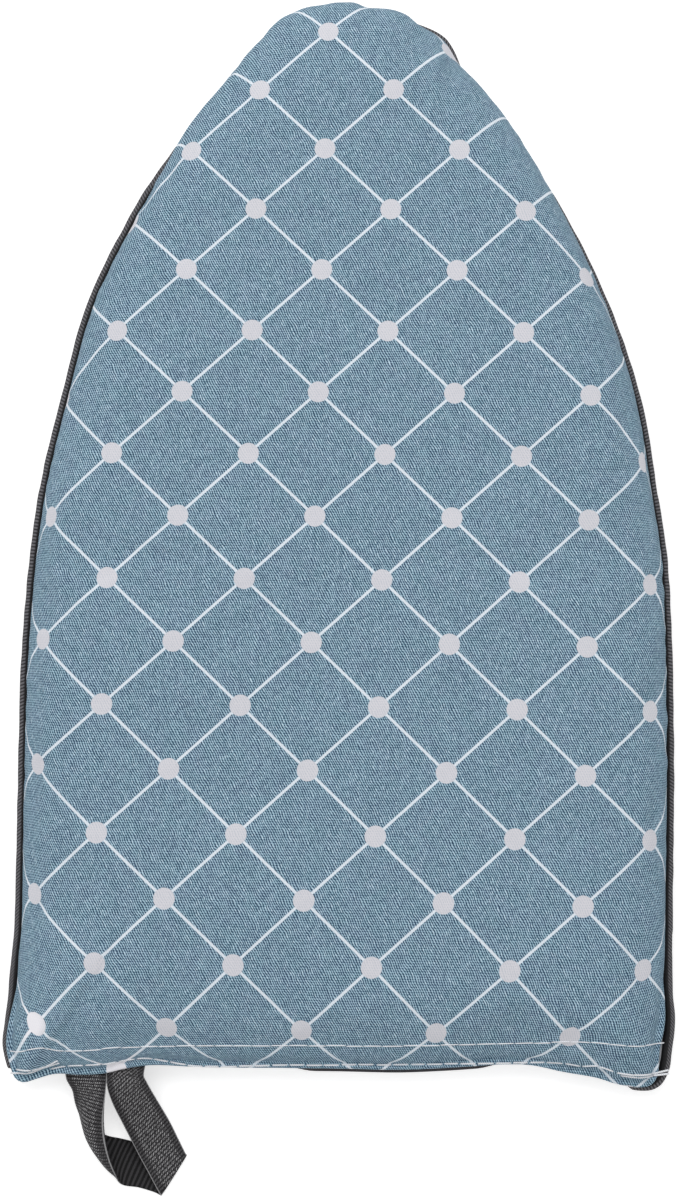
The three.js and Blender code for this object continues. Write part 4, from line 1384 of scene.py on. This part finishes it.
stitching = {
    "upper": {
        "path": [
            (-115.2, -175.8), (-112.2, -176.0), (-103.6, -174.5), (-97.3, -175.5), (-85.4, -175.2),
            (-78.8, -174.5), (-48.4, -173.8), (-13.4, -173.8), (21.5, -173.8), (56.4, -173.1),
            (85.1, -172.4), (94.8, -173.1), (105.3, -173.8), (113.7, -173.1),
        ],
        "pitch": 6.6, "gap": 0.1, "radius": 0.22, "seed": 61,
    },
    "closing": {
        "path": [
            (-100.8, -182.2), (-95.5, -181.1), (-82.3, -180.4), (-74.6, -179.0), (-67.6, -178.3),
            (-62.3, -179.0), (-55.4, -180.4), (-48.4, -181.1), (-13.4, -180.8), (21.5, -180.6),
            (56.4, -180.1), (78.4, -180.1), (84.7, -181.1), (90.6, -181.1), (96.2, -182.9),
        ],
        "pitch": 6.0, "gap": 0.9, "radius": 0.32, "seed": 62,
    },
    "leftTack": {
        "path": [(-97.3, -179.9), (-102.8, -181.6), (-107.8, -183.4), (-114.6, -183.6)],
        "pitch": 5.9, "gap": 0.1, "radius": 0.34, "seed": 63,
    },
    "leftTackBack": {
        "path": [(-112.6, -182.4), (-107.0, -182.5), (-101.6, -180.9), (-97.9, -179.0)],
        "pitch": 5.6, "gap": 0.2, "radius": 0.32, "seed": 64,
    },
    "rightTack": {
        "path": [(97.3, -183.2), (103.0, -184.0), (109.5, -183.8), (115.3, -182.6)],
        "pitch": 6.1, "gap": 0.0, "radius": 0.36, "seed": 65,
    },
    "rightTackBack": {
        "path": [(98.6, -184.2), (104.5, -184.9), (110.0, -184.5), (115.4, -183.9)],
        "pitch": 5.7, "gap": 0.1, "radius": 0.34, "seed": 66,
    },
    "mouth": {"pitch": 5.0, "gap": 0.9, "radius": 0.25, "inset": 8.1, "reach": 62.0, "seed": 67},
    "seam": {"pitch": 3.4, "gap": 0.5, "radius": 0.25, "inset": 6.2, "seed": 68},
    "faceRows": [
        ("upper_row", ["upper"], "cover_hem_stitching"),
        ("closing_row", ["closing"], "closing_stitching"),
        ("left_backtack", ["leftTack", "leftTackBack"], "backtack_left"),
        ("right_backtack", ["rightTack", "rightTackBack"], "backtack_right"),
    ],
    "stations": 2000,
    "fineSteps": 800,
    "steps": 9,
    "sunk": 0.36,
    "endSharpness": 6,
    "proud": 0.6,            # share of the thread's radius that its middle stands over the cloth
    "holeJitter": 0.06,      # share of the pitch
    "sideJitter": 0.07,
    "underShift": 0.5,       # the mouth row's under stitches lie this share of a pitch further on
    "seamLift": 0.3,
    "seamSunk": 0.35,
    "seamSides": 5,
    "hemLeast": 0.05,        # the seam's row stops where the hem's section begins
    "castFrom": 0.1,         # in metres over or under the table
}


def surfaceOf(piece):
    mesh = piece.data
    points = [vertex.co.copy() for vertex in mesh.vertices]
    return BVHTree.FromPolygons(points, [tuple(face.vertices) for face in mesh.polygons])


def heightsOn(tree, flat, way):  # height of a surface at plan places, in mm, from above or below
    found = []
    for x, y in flat * mm:
        start = Vector((x, y, stitching["castFrom"] * way))
        place = tree.ray_cast(start, Vector((0, 0, -way)))[0]
        found.append(place.z / mm if place else math.nan)
    found = np.array(found)
    known = ~np.isnan(found)
    return np.interp(np.arange(len(found)), np.flatnonzero(known), found[known])


# Splits a dense plan path into stitches: tubes x steps x 2, with a little jitter at the holes
def stitchPlaces(path, row):
    dense = curveThrough(path, stitching["fineSteps"])
    along = lengthsAlong(dense)
    count = max(1, round(along[-1] / row["pitch"]))
    random = np.random.default_rng(row["seed"])
    holes = np.linspace(0, along[-1], count + 1)
    most = stitching["holeJitter"]
    holes[1:-1] += random.uniform(-most, most, count - 1) * row["pitch"]
    begin, finish = holes[:-1] + row["gap"] / 2, holes[1:] - row["gap"] / 2
    at = begin[:, None] + (finish - begin)[:, None] * np.linspace(0, 1, stitching["steps"])
    flat = np.stack([np.interp(at, along, column) for column in dense.T], -1)
    return flat + random.normal(0, stitching["sideJitter"], (count, 1, 2))


def sinking(depth):  # how deep a stitch lies along its length: depth at its ends, none between
    return depth * np.abs(np.linspace(-1, 1, stitching["steps"])) ** stitching["endSharpness"]


def stitchCentres(flat, tree, row, way=1):
    height = heightsOn(tree, flat.reshape(-1, 2), way).reshape(flat.shape[:2])
    lift = row["radius"] * stitching["proud"] - sinking(stitching["sunk"])
    return raised(flat, height + lift * way)


def makeStitches(coverPiece, pocketPiece):
    tree = surfaceOf(coverPiece)
    for name, keys, node in stitching["faceRows"]:
        rows = [stitching[key] for key in keys]
        centres = [stitchCentres(stitchPlaces(row["path"], row), tree, row) for row in rows]
        piece = tubesPiece(name, np.concatenate(centres), rows[0]["radius"])
        dress(piece, "pale_thread", [node])

    row = stitching["mouth"]
    stations = padStations(stitching["stations"])
    inMouth = backEdge(stations)[1] > 0.5
    path = stations["point"] + (pocket["mouthInset"] + row["inset"]) * stations["ray"]
    places = stitchPlaces(path[inMouth & (np.abs(path[:, 0]) < row["reach"])], row)
    tree = surfaceOf(pocketPiece)
    above = stitchCentres(places, tree, row)
    below = stitchCentres(places + (row["pitch"] * stitching["underShift"], 0), tree, row, -1)
    below[..., 2] = np.maximum(below[..., 2], row["radius"])
    piece = tubesPiece("mouth_row", np.concatenate([above, below]), row["radius"])
    dress(piece, "dark_thread", ["pocket_hem_stitching"])

    row = stitching["seam"]
    path = insetPlaces(stations, row["inset"] + pocket["tipTuck"] * stations["tip"])
    places = stitchPlaces(path[stations["hem"] < stitching["hemLeast"]], row)
    height = levels["liningTop"] + stitching["seamLift"] - sinking(stitching["seamSunk"])
    piece = tubesPiece("seam_row", raised(places, height), row["radius"], stitching["seamSides"])
    dress(piece, "pale_thread", ["edge_seam_stitching"])
    print("stitches ready")


materials = makeMaterials()
makeStage()
coverPiece = makeCover()
makePadding()
pocketPiece = makePocket()
makeLining()
makeEdging()
makeLoop()
makeStitches(coverPiece, pocketPiece)
